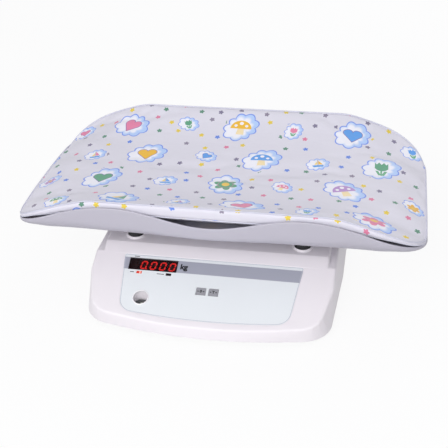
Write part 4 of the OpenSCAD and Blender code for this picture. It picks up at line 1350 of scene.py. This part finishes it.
class WEIGHER_OT_cushion(bpy.types.Operator):
    """Sew the cushion: a slack top sheet over foam, a crowned band round it, an underside that
    follows the tray, and piping along both seams, mapped in metres of cloth"""
    bl_idname = "weigher.cushion"
    bl_label = "Cushion"

    def execute(self, context):
        settings = context.scene.weigher_cushion
        half = np.linspace(0, RUN_X + ARC, 63)
        along = np.concatenate([-half[:0:-1], half])
        share = np.linspace(-1, 1, 57)
        flare = ease((np.abs(along) - PAD_OUT_FROM) / (PAD_OUT_TO - PAD_OUT_FROM))
        crown = settings.crown * (1 - 0.6 * flare)
        inset = PAD_INSET + crown - PAD_OUT * flare
        edge_x, edge_y = plan(np.abs(along), inset)
        x = np.repeat((np.sign(along) * edge_x)[:, None], len(share), 1)
        y = edge_y[:, None] * share[None]
        low, top = pad_faces(np.abs(x), np.abs(y), np.sign(y))
        fade = np.minimum(1, (1 - np.abs(share[None])) * 9) * np.minimum(
            1, (HALF_L - inset[:, None] - np.abs(x)) / (16 * MM))
        foam = top + soft_folds(x, y) * settings.fold * fade
        sheet = np.stack([x, TRAY_Y + y, foam], -1)
        under = np.stack([x, TRAY_Y + y, low], -1)

        columns, rows = len(along), len(share)
        number = np.arange(columns * rows).reshape(columns, rows)
        loop = np.concatenate([number[:-1, 0], number[-1, :-1], number[:0:-1, -1],
                               number[0, :0:-1]])
        cell = np.stack([number[:-1, :-1], number[1:, :-1], number[1:, 1:], number[:-1, 1:]],
                        -1).reshape(-1, 4)
        top_edge = sheet.reshape(-1, 3)[loop]
        low_edge = under.reshape(-1, 3)[loop]
        angle = np.clip((np.abs(along) - RUN_X) / CORNER, 0, np.pi / 2)
        out_x = np.repeat((np.sign(along) * np.sin(angle))[:, None], rows, 1)
        out_y = np.cos(angle)[:, None] * np.sign(share)[None]
        outward = np.stack([out_x, out_y, 0 * out_x], -1).reshape(-1, 3)[loop]
        outward /= np.linalg.norm(outward, axis=-1, keepdims=True)
        levels = np.linspace(1, -1, 9)[1:-1]
        crown = np.repeat(crown, rows)[loop][:, None]
        band = [top_edge * (1 + w) / 2 + low_edge * (1 - w) / 2 + outward * crown * (1 - w ** 4)
                for w in levels]

        start, width = columns * rows, len(loop)
        rings = [loop, *[start + k * width + np.arange(width) for k in range(len(band))],
                 start + len(band) * width + loop]
        strips = [np.stack([a, b, np.roll(b, -1), np.roll(a, -1)], -1)
                  for a, b in zip(rings, rings[1:])]
        points = np.concatenate([sheet.reshape(-1, 3), *band, under.reshape(-1, 3)])
        rise = np.diff(sheet[..., 2], axis=1, prepend=sheet[:, :1, 2])
        length = np.cumsum(np.hypot(np.diff(y, axis=1, prepend=y[:, :1]), rise), 1)
        length -= length[:, rows // 2][:, None]
        flat = np.zeros((len(points), 2))
        flat[:start] = np.stack([x, length], -1).reshape(-1, 2)
        depth = np.zeros(width)
        for before, ring in zip(rings, rings[1:-1]):
            depth += np.linalg.norm(points[ring] - points[before], axis=-1)
            flat[ring] = flat[loop] + outward[:, :2] * depth[:, None]
        hem = flat.copy()
        depth += np.linalg.norm(points[rings[-1]] - points[rings[-2]], axis=-1)
        hem[rings[-1]] = flat[loop] + outward[:, :2] * depth[:, None]
        back = flat.copy()
        back[-start:] = flat[:start] * (1, -1)
        groups = [cell, np.concatenate(strips), cell[:, ::-1] + start + len(band) * width]
        cushion = mesh_object("cushion_cover", points, groups, [flat, hem, back])
        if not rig.quick():
            held = np.concatenate([loop, np.arange(start, len(points))])
            swell(cushion, held, settings.pressure, settings.slack, settings.most)
        finer = cushion.modifiers.new("Subdivision", "SUBSURF")
        finer.levels = finer.render_levels = 1
        cover = printed_cloth("printed_cloth", tuple(settings.ground))
        dress(cushion, "pad", cover, "cushion_fabric", "cushion")
        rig.padded(cushion, fill=settings.fill)

        r = Recipe("piping_cloth")
        twist = r.noise(r.place(), 0.0008, 2.0)
        cord = r.surface(Base_Color=r.mix(twist, tint(196, 197, 214), tint(222, 222, 234)),
                         Roughness=0.6 + twist * 0.1, Normal=r.relief(twist, 0.06 * MM))
        radius = settings.piping
        lift = np.array([0, 0, 0.25 * radius])
        cords = [tube("seam", edge + outward * 0.35 * radius + lift, outward, radius)
                 for edge in (top_edge, low_edge)]
        dress(joined("cushion_piping", cords), "pad", cord, "cushion_fabric")
        return {"FINISHED"}


# ---- Feet ----


class WEIGHER_OT_feet(bpy.types.Operator):
    """Cut a real thread on the studs of the levelling feet"""
    bl_idname = "weigher.feet"
    bl_label = "Levelling feet"

    def execute(self, context):
        pitch, crest, depth, around = 1.25 * MM, 3.97 * MM, 0.62 * MM, 28
        for i in range(1, 5):
            low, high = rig.box(f"foot_stud_{i}")
            centre = (low + high) / 2
            start, end = 8.4 * MM, high.z - 0.2 * MM
            rows = int((end - start) / (pitch / 8))
            row = np.arange(rows)[:, None]
            turn = np.arange(around)[None] * 2 * np.pi / around
            height = start + row * pitch / 8 + 0 * turn
            phase = (height / pitch + turn / (2 * np.pi)) % 1
            radius = crest - depth * np.abs(2 * phase - 1)
            rings = np.stack([centre.x + radius * np.cos(turn), centre.y + radius * np.sin(turn),
                              height], -1)
            thread = closed_skin(f"foot_thread_{i}", rings, (centre.x, centre.y, start),
                                 (centre.x, centre.y, height[-1, 0]))
            dress(thread, f"stud_{i}", finish("zinc_steel"), "zinc_steel")
        return {"FINISHED"}


# ---- Stage ----


def seen_straight(tree):
    """1 where the camera, a reflection or a see-through piece looks straight at it, and 0 for
    the light that falls on the object."""
    path = tree.nodes.new("ShaderNodeLightPath")

    def larger(one, two):
        made = tree.nodes.new("ShaderNodeMath")
        made.operation = "MAXIMUM"
        tree.links.new(one, made.inputs[0])
        tree.links.new(two, made.inputs[1])
        return made.outputs[0]

    return larger(path.outputs["Is Camera Ray"], larger(path.outputs["Is Glossy Ray"],
                                                        path.outputs["Is Transmission Ray"]))


STAGE_MIDDLE = Vector((0, 0, 0.07))
FLOOR_GLOW, FLOOR_GLOW_SHARE, FLOOR_REACH = 1.06, 0.86, 6.0
FLOOR_TOP, FLOOR_UNDER = -0.0002, -0.02


class WEIGHER_OT_stage(bpy.types.Operator):
    """Set the floor, the even sky, three soft lamps and the camera"""
    bl_idname = "weigher.stage"
    bl_label = "Stage"

    def execute(self, context):
        settings = context.scene.weigher_stage
        scene = context.scene
        scene.view_settings.view_transform = "Standard"
        self.floor()
        self.sky(settings.sky)
        self.lamp("key_lamp", (-0.45, -1.7, 1.15), 1.5, settings.key_power)
        self.lamp("fill_lamp", (1.2, -1.2, 0.85), 1.2, settings.fill_power)
        self.lamp("back_lamp", (0.6, 1.8, 1.2), 1.4, settings.back_power)
        camera = bpy.data.cameras.new("camera")
        camera.lens = settings.lens
        camera.sensor_width = 36.0
        camera.clip_start, camera.clip_end = 0.01, 50.0
        view = placed("camera", camera)
        turn = (Matrix.Rotation(settings.azimuth, 4, "Z")
                @ Matrix.Rotation(math.pi / 2 - settings.elevation, 4, "X")
                @ Matrix.Rotation(settings.roll, 4, "Z"))
        view.matrix_world = Matrix.Translation(Vector(settings.camera)) @ turn
        scene.camera = view
        return {"FINISHED"}

    def floor(self):
        r = Recipe("floor")
        speck = r.noise(r.place(), 0.4, 2.0)
        r.surface(Base_Color=r.mix(speck, (0.53, 0.53, 0.54), (0.57, 0.57, 0.58)),
                  Roughness=0.9)
        seen = seen_straight(r.tree)
        glow = r.tree.nodes.new("ShaderNodeEmission")
        share = r.tree.nodes.new("ShaderNodeMath")
        share.operation = "MULTIPLY"
        share.inputs[1].default_value = FLOOR_GLOW_SHARE
        r.tree.links.new(seen, share.inputs[0])
        mix = r.tree.nodes.new("ShaderNodeMixShader")
        r.tree.links.new(share.outputs[0], mix.inputs[0])
        r.tree.links.new(r.shader.outputs[0], mix.inputs[1])
        r.tree.links.new(glow.outputs[0], mix.inputs[2])
        r.tree.links.new(mix.outputs[0], r.output.inputs["Surface"])
        glow.inputs["Strength"].default_value = FLOOR_GLOW
        far = FLOOR_REACH
        floor = slab("studio_floor", [(-far, -far), (far, -far), (far, far), (-far, far)],
                     FLOOR_UNDER, FLOOR_TOP)
        floor.data.materials.append(r.material)
        flat_shade(floor)
        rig.stage(floor)

    def sky(self, strength):
        world = bpy.data.worlds.new("studio")
        world.use_nodes = True
        tree = world.node_tree
        background = next(n for n in tree.nodes if n.type == "BACKGROUND")
        background.inputs["Color"].default_value = (0.97, 0.97, 1.0, 1)
        background.inputs["Strength"].default_value = strength
        white = tree.nodes.new("ShaderNodeBackground")
        mix = tree.nodes.new("ShaderNodeMixShader")
        output = next(n for n in tree.nodes if n.type == "OUTPUT_WORLD")
        tree.links.new(seen_straight(tree), mix.inputs[0])
        tree.links.new(background.outputs[0], mix.inputs[1])
        tree.links.new(white.outputs[0], mix.inputs[2])
        tree.links.new(mix.outputs[0], output.inputs["Surface"])
        white.inputs["Color"].default_value = (1, 1, 1, 1)
        bpy.context.scene.world = world

    def lamp(self, name, place, size, power):
        """A soft round lamp that is turned to the middle of the object."""
        light = bpy.data.lights.new(name, "AREA")
        light.shape = "DISK"
        light.size, light.energy = size, power
        lamp = placed(name, light)
        place = Vector(place)
        lamp.matrix_world = Matrix.Translation(place) @ (
            (STAGE_MIDDLE - place).to_track_quat("-Z", "Y").to_matrix().to_4x4())


class WEIGHER_PT_panel(bpy.types.Panel):
    """Lists the steps that dress the scale"""
    bl_label = "Weighing Scale"
    bl_idname = "WEIGHER_PT_panel"
    bl_space_type = "VIEW_3D"
    bl_region_type = "UI"
    bl_category = "Weighing Scale"

    def draw(self, context):
        for operator in OPERATORS:
            self.layout.operator(operator.bl_idname)
        for name, group in SETTINGS.items():
            box = self.layout.box()
            for key in group.__annotations__:
                box.prop(getattr(context.scene, name), key)


SETTINGS = {"weigher_console": ConsoleSettings, "weigher_panel": PanelSettings,
            "weigher_cradle": CradleSettings, "weigher_cushion": CushionSettings,
            "weigher_stage": StageSettings}
OPERATORS = [WEIGHER_OT_finishes, WEIGHER_OT_console, WEIGHER_OT_display,
             WEIGHER_OT_panel_print, WEIGHER_OT_level, WEIGHER_OT_cradle, WEIGHER_OT_cushion,
             WEIGHER_OT_feet, WEIGHER_OT_stage]


def register():
    for group in [*SETTINGS.values(), *OPERATORS, WEIGHER_PT_panel]:
        bpy.utils.register_class(group)
    for name, group in SETTINGS.items():
        setattr(bpy.types.Scene, name, bpy.props.PointerProperty(type=group))


def unregister():
    for name in SETTINGS:
        delattr(bpy.types.Scene, name)
    for group in [WEIGHER_PT_panel, *OPERATORS[::-1], *SETTINGS.values()]:
        bpy.utils.unregister_class(group)


def main():
    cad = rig.bounds()
    register()
    for operator in OPERATORS:
        group, name = operator.bl_idname.split(".")
        getattr(getattr(bpy.ops, group), name)()
    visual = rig.bounds()
    with open("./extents.json", "w") as file:
        json.dump({"cad": [list(c) for c in cad], "visual": [list(c) for c in visual]}, file)


if __name__ == "__main__":
    main()
